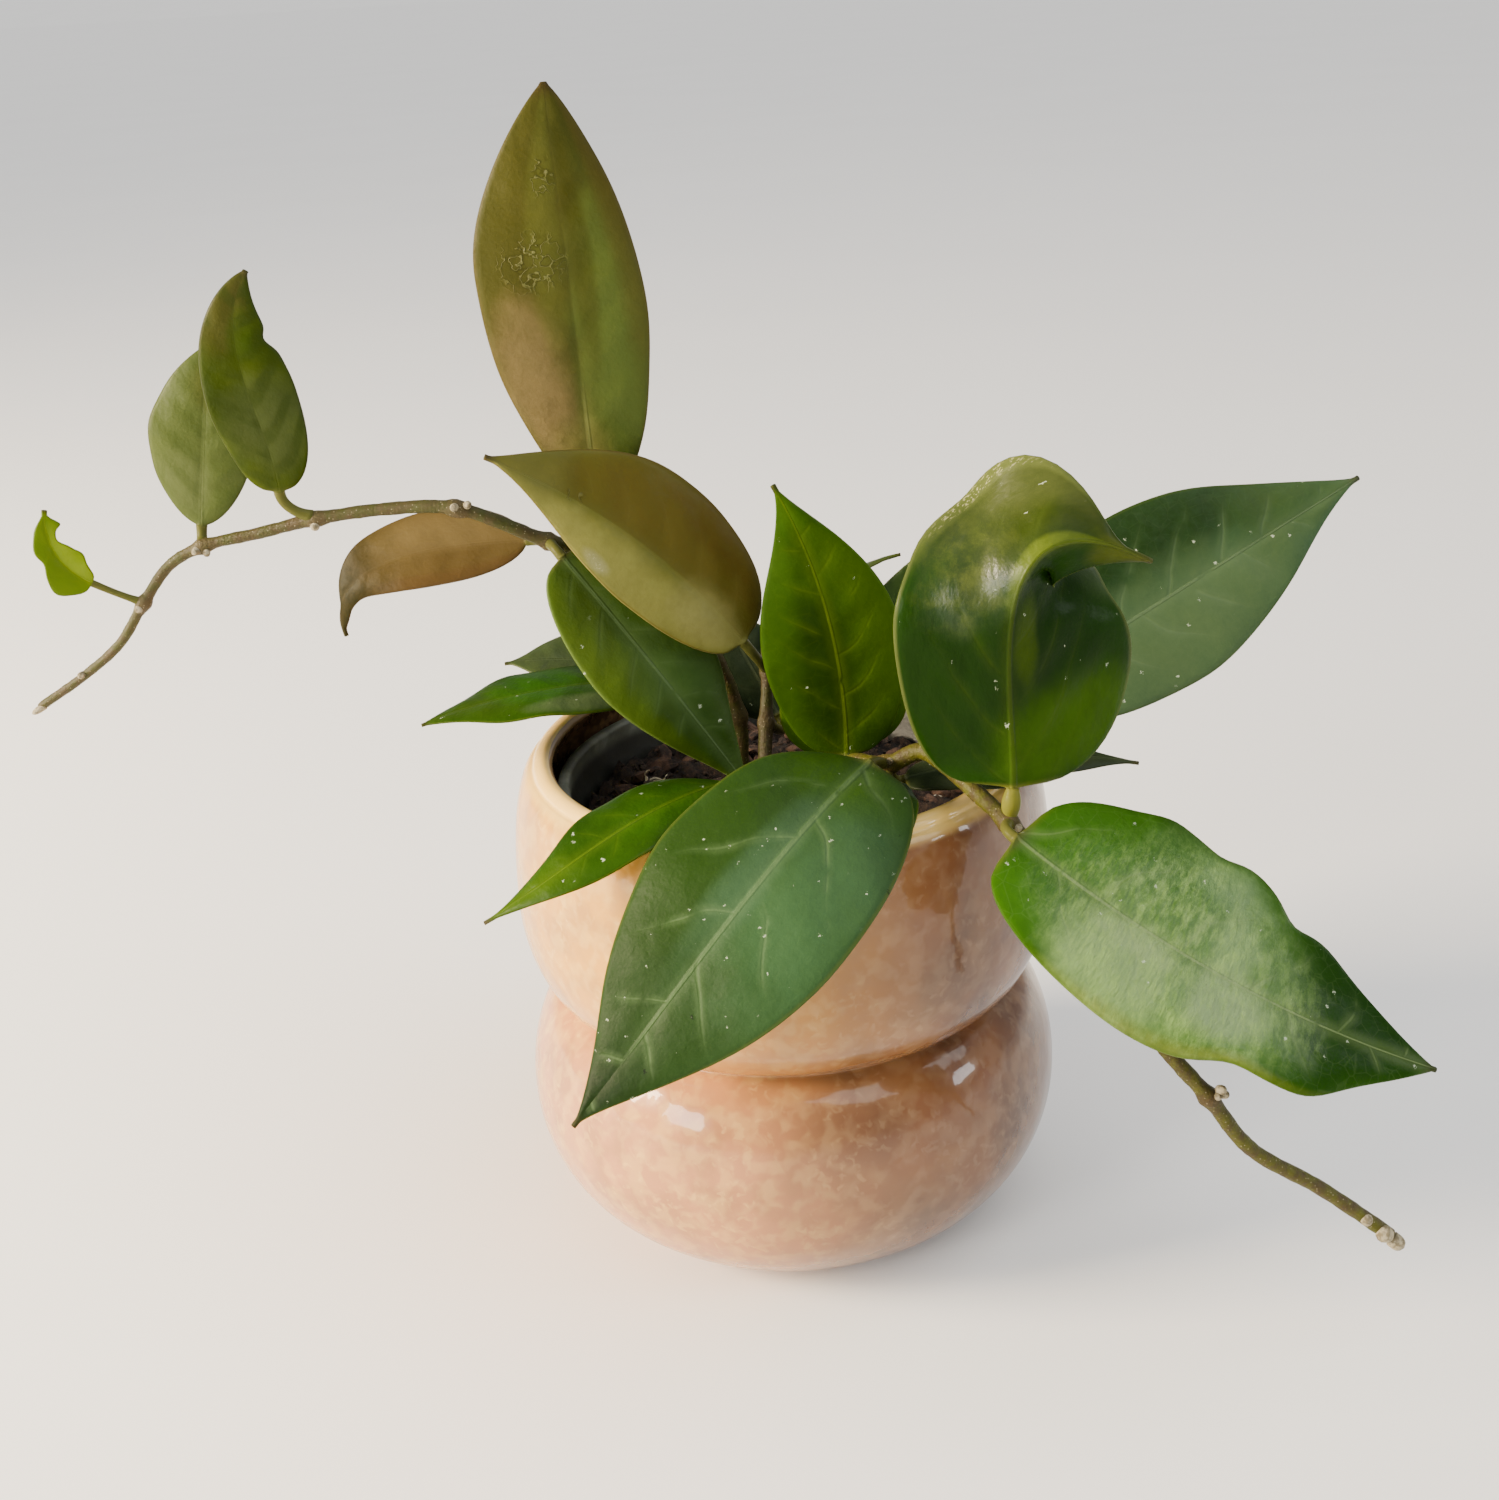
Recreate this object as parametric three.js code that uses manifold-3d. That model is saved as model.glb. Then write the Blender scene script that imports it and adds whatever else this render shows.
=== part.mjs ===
// Sunrise hoya in a nursery pot, standing in a glazed cover pot with two bulges.
// Millimetres, +Z up. The origin is the centre of the flat foot of the cover pot.
// -Y is the front, where the large leaf hangs over the rim; +X is the right.
import * as THREE from "three";
import { mergeVertices } from "three/addons/utils/BufferGeometryUtils.js";
import Module from "manifold-3d";

// Cover pot
const POT_HEIGHT = 113;
const FOOT_RADIUS = 33;
const LOWER_BULGE = { radius: 61, z: 32 };
const WAIST = { radius: 47.5, z: 57 };
const UPPER_BULGE = { radius: 60, z: 80 };
const RIM_RADIUS = 54;
const POT_WALL = 4.5;
const POT_FLOOR = 6;
const POT_SIDES = 40;

// Nursery pot and potting mix
const NURSERY_RIM = { radius: 49, z: 106 };
const NURSERY_FOOT_RADIUS = 35;
const NURSERY_BAND = { width: 2.8, depth: 8 };
const NURSERY_WALL = 1.4;
const NURSERY_SIDES = 32;
const SOIL_TOP = 97;
const SOIL_LUMP = 1.6;

// Touching pieces keep this gap
const SEAT_GAP = 0.3;

// Stems
const STEM_SIDES = 8;
const STEM_SUNK = 16;
const STEM_STEPS = 3;

// Leaves
const LEAF_COLUMNS = 6;
const BLADE_STATIONS = [0, 0.03, 0.09, 0.18, 0.3, 0.43, 0.56, 0.69, 0.81, 0.92, 1];
const HOOKED_STATIONS = [0, 0.03, 0.09, 0.18, 0.28, 0.38, 0.47, 0.55, 0.62, 0.68, 0.74, 0.8, 0.87, 0.94, 1];
const PETIOLE_STATIONS = [0, 0.28, 0.54, 0.78];
const PETIOLE_RADIUS = 1.2;
const BLADE_THICKNESS = 1.1;
const TIP_HALF_WIDTH = 0.4;
const SLOPED_WIDTH = 4;
const SLOPE_STEP = 0.002;
const DROOP_SPREAD = 0.16;
const NECK_END = 0.08;
const NECK_SHARE = 0.8;

const wasm = await Module();
wasm.setup();

const vec = (p) => new THREE.Vector3(p[0], p[1], p[2]);
const radians = THREE.MathUtils.degToRad;
const plant = new THREE.Group();

function addMesh(name, geometry, color, roughness) {
  const material = new THREE.MeshStandardMaterial({ color, roughness, metalness: 0 });
  const mesh = new THREE.Mesh(geometry, material);
  mesh.name = name;
  plant.add(mesh);
}

function solidOf(geometry) {
  const bare = geometry.clone();
  bare.deleteAttribute("normal");
  bare.deleteAttribute("uv");
  const merged = mergeVertices(bare, 1e-4);
  return new wasm.Manifold(
    new wasm.Mesh({
      numProp: 3,
      vertProperties: new Float32Array(merged.attributes.position.array),
      triVerts: new Uint32Array(merged.index.array),
    }),
  );
}

function geometryOf(solid) {
  const made = solid.getMesh();
  const geometry = new THREE.BufferGeometry();
  geometry.setAttribute("position", new THREE.BufferAttribute(made.vertProperties, 3));
  geometry.setIndex(new THREE.BufferAttribute(made.triVerts, 1));
  geometry.computeVertexNormals();
  return geometry;
}

// One closed body through rings that hold the same number of points, counted
// anticlockwise when looked at from the end, with a fan round the middle of both ends.
function loft(rings) {
  const count = rings[0].length;
  const positions = rings.flat().flatMap((p) => [p.x, p.y, p.z]);
  const faces = [];
  for (let i = 0; i + 1 < rings.length; i++)
    for (let j = 0; j < count; j++) {
      const next = (j + 1) % count;
      const a = i * count + j;
      const b = i * count + next;
      const c = (i + 1) * count + next;
      const d = (i + 1) * count + j;
      // The two faces of a blade are mirror images across it, so the second
      // half of the ring takes the other diagonal.
      if (j < count / 2) faces.push(a, b, c, a, c, d);
      else faces.push(a, b, d, b, c, d);
    }
  for (const [ring, first] of [[rings[0], 0], [rings.at(-1), (rings.length - 1) * count]]) {
    const middle = positions.length / 3;
    const centre = ring.reduce((sum, p) => sum.add(p), new THREE.Vector3()).divideScalar(count);
    positions.push(centre.x, centre.y, centre.z);
    for (let j = 0; j < count; j++) {
      const next = (j + 1) % count;
      faces.push(middle, ...(first ? [first + j, first + next] : [next, j]));
    }
  }
  const geometry = new THREE.BufferGeometry();
  geometry.setAttribute("position", new THREE.Float32BufferAttribute(positions, 3));
  geometry.setIndex(faces);
  geometry.computeVertexNormals();
  return geometry;
}

// A body of revolution about the Z axis from a profile of radius and height.
function turned(profile, sides) {
  return new THREE.LatheGeometry(profile, sides).rotateX(Math.PI / 2);
}

// Height and radius of a quarter round from a bulge to a narrower place.
function bulgeArc(bulge, end, steps) {
  const points = [];
  for (let i = 1; i <= steps; i++) {
    const share = Math.sin((i / steps) * (Math.PI / 2));
    const z = bulge.z + (end.z - bulge.z) * share;
    const radius = end.radius + (bulge.radius - end.radius) * Math.sqrt(1 - share * share);
    points.push(new THREE.Vector2(radius, z));
  }
  return points;
}

function coverPot() {
  const foot = { radius: FOOT_RADIUS, z: 0 };
  const rim = { radius: RIM_RADIUS, z: POT_HEIGHT - POT_WALL / 2 };
  const outside = [
    new THREE.Vector2(0, 0),
    new THREE.Vector2(FOOT_RADIUS, 0),
    ...bulgeArc(LOWER_BULGE, foot, 5).reverse().slice(1),
    new THREE.Vector2(LOWER_BULGE.radius, LOWER_BULGE.z),
    ...bulgeArc(LOWER_BULGE, WAIST, 4),
    ...bulgeArc(UPPER_BULGE, WAIST, 3).reverse().slice(1),
    new THREE.Vector2(UPPER_BULGE.radius, UPPER_BULGE.z),
    ...bulgeArc(UPPER_BULGE, rim, 5),
  ];
  const lip = [45, 90, 135].map((angle) => {
    const turn = radians(angle);
    const middle = RIM_RADIUS - POT_WALL / 2;
    return new THREE.Vector2(
      middle + (POT_WALL / 2) * Math.cos(turn),
      rim.z + (POT_WALL / 2) * Math.sin(turn),
    );
  });
  const inside = outside
    .filter((p) => p.x > FOOT_RADIUS + POT_WALL && p.y > POT_FLOOR + POT_WALL)
    .map((p) => new THREE.Vector2(p.x - POT_WALL, p.y))
    .reverse();
  const floor = [
    new THREE.Vector2(FOOT_RADIUS + POT_WALL, POT_FLOOR),
    new THREE.Vector2(0, POT_FLOOR),
  ];
  return turned([...outside, ...lip, ...inside, ...floor], POT_SIDES);
}

const nurseryFloor = POT_FLOOR + SEAT_GAP;

// Outer radius of the nursery pot's wall below its rim band.
function nurseryRadius(z) {
  const share = (z - nurseryFloor) / (NURSERY_RIM.z - nurseryFloor);
  const top = NURSERY_RIM.radius - NURSERY_BAND.width / 2;
  return NURSERY_FOOT_RADIUS + (top - NURSERY_FOOT_RADIUS) * share;
}

function nurseryPot() {
  const { radius, z } = NURSERY_RIM;
  const bandFoot = z - NURSERY_BAND.depth;
  const profile = [
    [0, nurseryFloor],
    [nurseryRadius(nurseryFloor), nurseryFloor],
    [nurseryRadius(bandFoot), bandFoot],
    [radius, bandFoot + 1],
    [radius, z - 0.6],
    [radius - 0.6, z],
    [radius - NURSERY_BAND.width + 0.6, z],
    [radius - NURSERY_BAND.width, z - 0.6],
    [nurseryRadius(bandFoot) - NURSERY_WALL, bandFoot],
    [nurseryRadius(nurseryFloor) - NURSERY_WALL, nurseryFloor + NURSERY_WALL],
    [0, nurseryFloor + NURSERY_WALL],
  ];
  return turned(profile.map((p) => new THREE.Vector2(...p)), NURSERY_SIDES);
}

// Height of the lumpy top of the potting mix.
function soilHeight(x, y) {
  const lumps = Math.sin(x * 0.31 + 0.7) * Math.cos(y * 0.27 - 0.4) + 0.6 * Math.sin(x * 0.83 + y * 0.61);
  return SOIL_TOP + SOIL_LUMP * lumps;
}

function soilBody() {
  const low = nurseryFloor + NURSERY_WALL + SEAT_GAP;
  const radiusAt = (z) => nurseryRadius(z) - NURSERY_WALL - SEAT_GAP;
  const circle = (share, height) =>
    Array.from({ length: NURSERY_SIDES }, (_, i) => {
      const angle = (i / NURSERY_SIDES) * 2 * Math.PI;
      const radius = radiusAt(SOIL_TOP - 4) * share;
      const x = radius * Math.cos(angle);
      const y = radius * Math.sin(angle);
      return new THREE.Vector3(x, y, height ?? soilHeight(x, y));
    });
  const bottom = circle(radiusAt(low) / radiusAt(SOIL_TOP - 4), low);
  const edge = circle(1, SOIL_TOP - 4);
  const top = [0.97, 0.8, 0.62, 0.44, 0.26, 0.1].map((share) => circle(share));
  return loft([bottom, edge, ...top]);
}

// The joints of the stems, where the petioles start.
const NODE = {
  leftA: [-46, 4, 159.5],
  leftB: [-31, 9, 152],
  left1: [-64, 0, 169],
  left2: [-94, 2, 168],
  left3: [-119, 4, 163],
  left4: [-134, 5, 151],
  leftLow: [-8, 13, 113],
  right0: [22, -28, 117],
  right1: [44, -48, 112],
  right2: [81, -67, 58],
  middleLow: [-3, -4, 105],
  middle: [-2, 3, 115],
  middleTop: [-1, 8, 126],
  backLow: [35, 8, 106],
  back: [37, 6, 113],
};

// Each stem: the points of its path from the foot in the potting mix to its
// end, its radius at both ends, and the joints that swell it.
const STEMS = {
  vine_left: {
    path: [[-8, 14, 99], NODE.leftLow, [-13, 11, 130], [-21, 7, 144], NODE.leftB, NODE.leftA, NODE.left1,
      [-79, 1, 169.5], NODE.left2, [-106, 3, 165.5], NODE.left3, [-127, 5, 159], NODE.left4, [-141, 6, 142],
      [-150, 7, 135], [-163, 8, 127]],
    radius: [1.7, 0.95],
    joints: [NODE.leftLow, NODE.leftB, NODE.leftA, NODE.left1, NODE.left2, NODE.left3, NODE.left4],
  },
  vine_right: {
    path: [[8, -9, 99], [11, -14, 109], [16, -21, 115], NODE.right0, [29, -31, 121], [34, -36, 119],
      [38, -43, 117], NODE.right1, [52, -54, 103], [62, -60, 88], [71, -65, 71], NODE.right2,
      [90, -67, 45], [105, -67, 34], [121, -68, 21]],
    radius: [1.9, 1.5],
    joints: [NODE.right0, NODE.right1, NODE.right2, [121, -68, 21]],
  },
  stem_middle: {
    path: [[-3, -6, 98], NODE.middleLow, NODE.middle, NODE.middleTop, [-1, 10, 132]],
    radius: [1.8, 1.1],
    joints: [NODE.middleLow, NODE.middle, NODE.middleTop],
  },
  stem_back: {
    path: [[33, 9, 99], NODE.backLow, NODE.back, [36, 7, 119]],
    radius: [1.8, 1.2],
    joints: [NODE.backLow, NODE.back],
  },
};
const JOINT_SWELLING = 0.6;
const JOINT_LENGTH = 2.2;

function circleRing(centre, side, normal, radius, count) {
  return Array.from({ length: count }, (_, j) => {
    const angle = Math.PI * (1 - (2 * j + 1) / count);
    return centre
      .clone()
      .addScaledVector(side, radius * Math.cos(angle))
      .addScaledVector(normal, radius * Math.sin(angle));
  });
}

function stemCurve(stem) {
  return new THREE.CatmullRomCurve3(stem.path.map(vec), false, "centripetal");
}

function stemBody(stem, extra, end) {
  const deep = vec(stem.path[0]).setZ(SOIL_TOP - STEM_SUNK);
  const curve = stemCurve(stem);
  const rings = [];
  const ring = (centre, tangent, radius) => {
    const side = new THREE.Vector3(0, 1, 0.3).cross(tangent).normalize();
    rings.push(circleRing(centre, side, side.clone().cross(tangent), radius, STEM_SIDES));
  };
  ring(deep, new THREE.Vector3(0, 0, 1), stem.radius[0] + extra);
  const steps = STEM_STEPS * (stem.path.length - 1);
  for (let i = 0; i <= steps * end; i++) {
    const u = i / steps;
    const centre = curve.getPoint(u);
    const near = stem.joints.map((p) => centre.distanceTo(vec(p)) / JOINT_LENGTH);
    const swell = Math.max(...near.map((d) => JOINT_SWELLING * Math.exp(-d * d)));
    const radius = stem.radius[0] + (stem.radius[1] - stem.radius[0]) * u;
    ring(centre, curve.getTangent(u), radius + swell + extra);
  }
  return loft(rings);
}

// How far from the middle of its joint a petiole starts, clear of the stem.
function petioleStart(joint, way, radius) {
  const stem = Object.values(STEMS).find((one) => one.joints.includes(joint));
  const place = stem.path.indexOf(joint) / (stem.path.length - 1);
  const along = Math.abs(stemCurve(stem).getTangent(place).dot(way));
  const stemRadius = stem.radius[0] + (stem.radius[1] - stem.radius[0]) * place;
  const flat = (stemRadius + JOINT_SWELLING) * Math.cos(Math.PI / STEM_SIDES);
  const clear = flat + radius * along + SEAT_GAP;
  return clear / Math.sqrt(1 - along * along);
}

// Share of a half's full width at t, from 0 at the base to 1 at the tip.
function widthShare(t, half) {
  const { belly = 0.4, round = 0.4, point = 1.4 } = half;
  if (t < belly) return Math.pow(1 - (1 - t / belly) ** 2, round);
  const u = (t - belly) / (1 - belly);
  return Math.cos((u * Math.PI) / 2) ** point;
}

// The curve through four points that it meets at 0, a third, two thirds and 1.
function curveThrough(points) {
  const [a, b, c, d] = points.map(vec);
  const first = a.clone().multiplyScalar(-5).addScaledVector(b, 18).addScaledVector(c, -9);
  const second = d.clone().multiplyScalar(-5).addScaledVector(c, 18).addScaledVector(b, -9);
  first.addScaledVector(d, 2).divideScalar(6);
  second.addScaledVector(a, 2).divideScalar(6);
  return new THREE.CubicBezierCurve3(a, first, second, d);
}

// Position, tangent, side and facing direction of the midrib at t.
function ribFrame(leaf, t) {
  const base = vec(leaf.base);
  const axis = vec(leaf.tip).sub(base);
  const along = axis.clone().normalize();
  const facing = vec(leaf.faces);
  facing.addScaledVector(along, -facing.dot(along)).normalize();
  const side = along.clone().cross(facing);
  const offset = (share) => {
    const rise = 4 * share * (1 - share);
    const lean = 2 * share - 1;
    const [arch, archSkew] = leaf.arch ?? [0, 0];
    const [bend, bendSkew] = leaf.bend ?? [0, 0];
    return base
      .clone()
      .addScaledVector(axis, share)
      .addScaledVector(facing, rise * (arch + archSkew * lean))
      .addScaledVector(side, rise * (bend + bendSkew * lean))
      .toArray();
  };
  const between = leaf.rib ?? [offset(1 / 3), offset(2 / 3)];
  const curve = curveThrough([leaf.base, ...between, leaf.tip]);
  const centre = curve.getPoint(t);
  const tangent = curve.getTangent(t);
  facing.addScaledVector(tangent, -facing.dot(tangent)).normalize();
  return { centre, tangent, facing, side: tangent.clone().cross(facing) };
}

function halfWidth(half, t) {
  return Math.max(half.width * widthShare(t, half), TIP_HALF_WIDTH);
}

// A point of the blade's middle surface. s runs from -1 at the left margin to 1
// at the right one, with the upper face looked at, tip up. Each half is an arc
// that leaves the rib at fold[0] and ends at fold[1], and a droop bends it
// further round one place.
function bladePoint(leaf, t, s) {
  const frame = ribFrame(leaf, t);
  const half = s < 0 ? leaf.left : leaf.right;
  const fold = half.fold ?? leaf.fold ?? [8, -14];
  const width = halfWidth(half, t);
  const share = Math.abs(s);
  const { by, at } = half.droop ?? { by: 0, at: 0 };
  const start = radians(fold[0] + by * Math.exp(-(((t - at) / DROOP_SPREAD) ** 2)));
  const swing = radians(fold[1] - fold[0]) * share || 1e-6;
  const out = (width * share * (Math.sin(start + swing) - Math.sin(start))) / swing;
  const up = (width * share * (Math.cos(start) - Math.cos(start + swing))) / swing;
  const { height, count, phase } = leaf.wave ?? { height: 0.5, count: 2, phase: 0 };
  const ripple = height * Math.sin(2 * Math.PI * (count * t + phase) + (s < 0 ? 2 : 0));
  const lift = up + ripple * share * share * Math.min(1, width / half.width);
  return frame.centre
    .addScaledVector(frame.side, out * Math.sign(s))
    .addScaledVector(frame.facing, lift);
}

// The normal of the middle surface. Where the blade is narrow it turns to the
// facing direction.
function bladeNormal(leaf, t, s) {
  const along = bladePoint(leaf, Math.min(1, t + SLOPE_STEP), s);
  along.sub(bladePoint(leaf, Math.max(0, t - SLOPE_STEP), s));
  const across = bladePoint(leaf, t, Math.min(1, s + SLOPE_STEP));
  across.sub(bladePoint(leaf, t, Math.max(-1, s - SLOPE_STEP)));
  const share = Math.min(1, halfWidth(s < 0 ? leaf.left : leaf.right, t) / SLOPED_WIDTH);
  return across.cross(along).normalize().lerp(ribFrame(leaf, t).facing, 1 - share).normalize();
}

function leafBody(leaf) {
  const columns = leaf.columns ?? LEAF_COLUMNS;
  const radius = leaf.petiole ?? PETIOLE_RADIUS;
  const root = ribFrame(leaf, 0);
  const start = vec(leaf.from);
  const way = root.centre.clone().sub(start).normalize();
  start.addScaledVector(way, petioleStart(leaf.from, way, radius));
  const reach = root.centre.distanceTo(start);
  const pull = root.centre.clone().addScaledVector(root.tangent, -reach / 2);
  const petiole = new THREE.QuadraticBezierCurve3(start, pull, root.centre);
  const rings = PETIOLE_STATIONS.map((u) => {
    const tangent = petiole.getTangent(u);
    const side = tangent.clone().cross(root.facing).normalize();
    return circleRing(petiole.getPoint(u), side, side.clone().cross(tangent), radius, 2 * (columns + 1));
  });
  for (const t of leaf.stations ?? BLADE_STATIONS) {
    const shares = Array.from({ length: columns + 1 }, (_, j) => (2 * j) / columns - 1);
    const across = shares.map((s) => ({ point: bladePoint(leaf, t, s), normal: bladeNormal(leaf, t, s) }));
    const neck = Math.max(0, 1 - t / NECK_END) * (NECK_SHARE * radius - BLADE_THICKNESS / 2);
    const half = BLADE_THICKNESS / 2 + neck;
    const upper = across.map(({ point, normal }) => point.clone().addScaledVector(normal, half));
    const lower = across.map(({ point, normal }) => point.clone().addScaledVector(normal, -half));
    rings.push([...upper, ...lower.reverse()]);
  }
  return loft(rings);
}

// The leaves. base and tip are the ends of the blade; from is the joint where
// the petiole starts; faces is the way that the upper face looks; left and
// right are the half widths; arch and bend are the rises of the midrib at its
// middle along the facing direction and to the side, each with a skew.
const LEAVES = {
  leaf_01: { from: NODE.leftB, base: [-35, 6, 165], tip: [-38, 6, 251], faces: [0.1, -1, 0.2],
    left: { width: 18.5, belly: 0.58, round: 0.85, point: 0.85 },
    right: { width: 15, belly: 0.47, round: 0.6, point: 0.8 }, arch: [2, 0] },
  leaf_02: { from: NODE.middleTop, base: [-6, -1, 136], tip: [-55, -14, 183], faces: [0.1, -1, 0.5],
    left: { width: 12 }, right: { width: 16.5, belly: 0.45, point: 1.2 },
    arch: [1, 0], bend: [4, 0], fold: [10, -8] },
  leaf_03: { from: NODE.leftA, base: [-51, 8.6, 158.6], rib: [[-69, 9, 158], [-87, 9, 153]],
    tip: [-93, 10, 139], faces: [0, -0.8, 0.6], left: { width: 7.8, round: 0.6, point: 1.6 },
    right: { width: 8.8, round: 0.6, point: 1.6 } },
  leaf_04: { from: NODE.left3, base: [-119, 6, 167], tip: [-112, 10, 204], faces: [0, -1, 0.2],
    left: { width: 11.5, belly: 0.5, round: 0.65, point: 0.8 },
    right: { width: 10, belly: 0.5, round: 0.65, point: 0.8 }, arch: [1, 0] },
  leaf_05: { from: NODE.left2, base: [-100, 0, 175], rib: [[-101.5, -2, 191], [-103.5, -2, 206]],
    tip: [-99, -2, 220], faces: [0.2, -1, 0.2],
    left: { width: 8.5, point: 0.8 }, right: { width: 9, point: 0.9 } },
  leaf_06: { from: NODE.left4, base: [-143, 2, 157], tip: [-149, 0, 174], faces: [0.3, -1, 0.3],
    left: { width: 4.8 }, right: { width: 3.6 }, bend: [-3, 0], fold: [25, 10], petiole: 0.8, columns: 4 },
  leaf_07: { from: NODE.leftLow, base: [-28, 27, 120], tip: [-61, 24, 125], faces: [0, -0.4, 1],
    left: { width: 11 }, right: { width: 11 }, arch: [2, 0], columns: 4 },
  leaf_08: { from: NODE.leftLow, base: [-26, 11, 123], tip: [-77, -2, 121.5], faces: [0, 0.05, 1],
    left: { width: 12 }, right: { width: 12 }, arch: [3, 0] },
  leaf_09: { from: NODE.leftA, base: [-43, -1, 157.5], tip: [-6, -7, 103], faces: [0.35, -1, 0.4],
    left: { width: 14.5 }, right: { width: 12.5 }, arch: [2, 0] },
  leaf_10: { from: NODE.middleLow, base: [15, -6, 110], tip: [2, -8, 172], faces: [0, -1, 0.3],
    left: { width: 15.5 }, right: { width: 14.5 }, arch: [-2, 0], bend: [4, 0] },
  leaf_11: { from: NODE.right1, base: [45, -47, 119], rib: [[44.1, -48, 143], [48.2, -50, 166]],
    tip: [72, -42, 162], faces: [0, -1, 0.2], columns: 8, stations: HOOKED_STATIONS,
    left: { width: 23.2, belly: 0.74, point: 3.2, round: 0.28, fold: [-8, -10],
      droop: { by: -41, at: 0.69 } },
    right: { width: 27, belly: 0.26, point: 1.1, round: 0.47, fold: [-19, -31],
      droop: { by: -52, at: 0.76 } } },
  leaf_12: { from: NODE.back, base: [55, 4, 119], tip: [132, 20, 158], faces: [0, -1, 0.5],
    left: { width: 22, point: 1.2 }, right: { width: 19 }, arch: [2, 0] },
  leaf_13: { from: NODE.right0, base: [18, -35, 120.5], rib: [[-3, -62, 112.5], [-25, -73, 90]],
    tip: [-44, -79, 68.5], faces: [-0.2, -0.8, 0.8], left: { width: 22 }, right: { width: 22 } },
  leaf_14: { from: NODE.middleLow, base: [-11, -22, 112], rib: [[-27, -43, 116], [-43, -52, 110]],
    tip: [-60, -54, 100], faces: [0, -0.3, 1], left: { width: 8.5 }, right: { width: 9.5 } },
  leaf_15: { from: NODE.right0, base: [22, -33, 115.3], tip: [21, -57, 107.8], faces: [0, -0.3, 1],
    left: { width: 5 }, right: { width: 6 }, arch: [3.4, 0], columns: 4 },
  leaf_16: { from: NODE.right0, base: [26, -25, 112], tip: [74, -28, 114], faces: [0, -0.1, 1],
    left: { width: 9 }, right: { width: 9 }, arch: [3, 0], columns: 4 },
  leaf_17: { from: NODE.right1, base: [44, -56, 112.6], tip: [123, -74, 66], faces: [0.2, -0.7, 0.8],
    left: { width: 25, belly: 0.35, round: 0.35, point: 1.1 },
    right: { width: 19.5, belly: 0.35, round: 0.3, point: 1 },
    arch: [4, 0], bend: [7, 0], wave: { height: 1.2, count: 2, phase: 0 } },
  leaf_18: { from: NODE.middleTop, base: [8, 13, 128], tip: [30, 16, 148], faces: [0, 0.2, 1],
    left: { width: 6 }, right: { width: 6 }, arch: [5, 0], columns: 4 },
  leaf_19: { from: NODE.back, base: [30, 10, 118], tip: [38, 14, 153], faces: [0, -1, 0.4],
    left: { width: 12 }, right: { width: 11 }, columns: 4 },
  leaf_20: { from: NODE.middle, base: [1, 18, 111], tip: [-12, 22, 138], faces: [0, -1, 0.4],
    left: { width: 9 }, right: { width: 9 }, columns: 4 },
  leaf_21: { from: NODE.backLow, base: [15, 2, 107], tip: [10, 4, 137], faces: [0, -1, 0.3],
    left: { width: 12, belly: 0.35 }, right: { width: 16, belly: 0.3 }, columns: 4, petiole: 1 },
};

addMesh("cover_pot", coverPot(), "#d3aa86", 0.22);
addMesh("nursery_pot", nurseryPot(), "#2c2f31", 0.5);

let soil = solidOf(soilBody());
for (const stem of Object.values(STEMS)) {
  const hole = solidOf(stemBody(stem, SEAT_GAP, 0.2));
  soil = soil.subtract(hole);
}
addMesh("soil", geometryOf(soil), "#2a1d16", 0.95);

for (const [name, stem] of Object.entries(STEMS)) addMesh(name, stemBody(stem, 0, 1), "#6c6a3c", 0.6);
for (const [name, leaf] of Object.entries(LEAVES)) addMesh(name, leafBody(leaf), "#3f6a24", 0.4);

export default plant;
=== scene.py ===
"""Sunrise hoya in a glazed cover pot with two bulges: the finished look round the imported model.

Lengths in the tables below are in millimetres, +Z up, -Y the front, +X the right.
Every piece is made in metres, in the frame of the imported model.
"""
import math

import bmesh
import bpy
import numpy as np
from mathutils import Matrix


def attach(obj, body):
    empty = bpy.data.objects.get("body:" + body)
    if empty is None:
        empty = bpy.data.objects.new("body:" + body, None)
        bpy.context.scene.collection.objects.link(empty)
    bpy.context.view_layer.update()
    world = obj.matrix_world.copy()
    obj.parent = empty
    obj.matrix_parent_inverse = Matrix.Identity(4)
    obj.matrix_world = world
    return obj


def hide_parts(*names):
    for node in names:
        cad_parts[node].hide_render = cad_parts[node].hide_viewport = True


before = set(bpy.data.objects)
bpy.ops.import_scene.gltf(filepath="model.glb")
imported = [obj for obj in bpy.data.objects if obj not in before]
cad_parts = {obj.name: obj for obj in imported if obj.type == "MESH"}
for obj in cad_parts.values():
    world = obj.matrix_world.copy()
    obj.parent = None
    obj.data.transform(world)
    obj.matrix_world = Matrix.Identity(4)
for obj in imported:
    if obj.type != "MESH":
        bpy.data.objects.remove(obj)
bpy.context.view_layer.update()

MM = 0.001
SEED = 20

# Sizes, as in the model

POT_HEIGHT = 113
FOOT_RADIUS = 33
LOWER_BULGE = (61, 32)
WAIST = (47.5, 57)
UPPER_BULGE = (60, 80)
RIM_RADIUS = 54
POT_WALL = 4.5
POT_WOBBLE = 0.0012
POT_FLOOR = 6
NURSERY_RIM = (49, 106)
NURSERY_FOOT_RADIUS = 35
NURSERY_FOOT_Z = 6.3
NURSERY_BAND = (2.8, 8)
NURSERY_WALL = 1.4
NURSERY_CORNER = 0.8
SOIL_TOP = 97
SOIL_SHOULDER = 93
SOIL_LUMP = 1.6
SEAT_GAP = 0.3
STEM_SUNK = 16
JOINT_SWELLING = 0.6
JOINT_LENGTH = 2.2
STEM_END = 1.4
BLADE_THICKNESS = 1.1
PETIOLE_START = 0.8
BLADE_WAVES = 2
TIP_HALF_WIDTH = 0.4
DROOP_SPREAD = 0.16
SLOPED_WIDTH = 4

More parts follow.
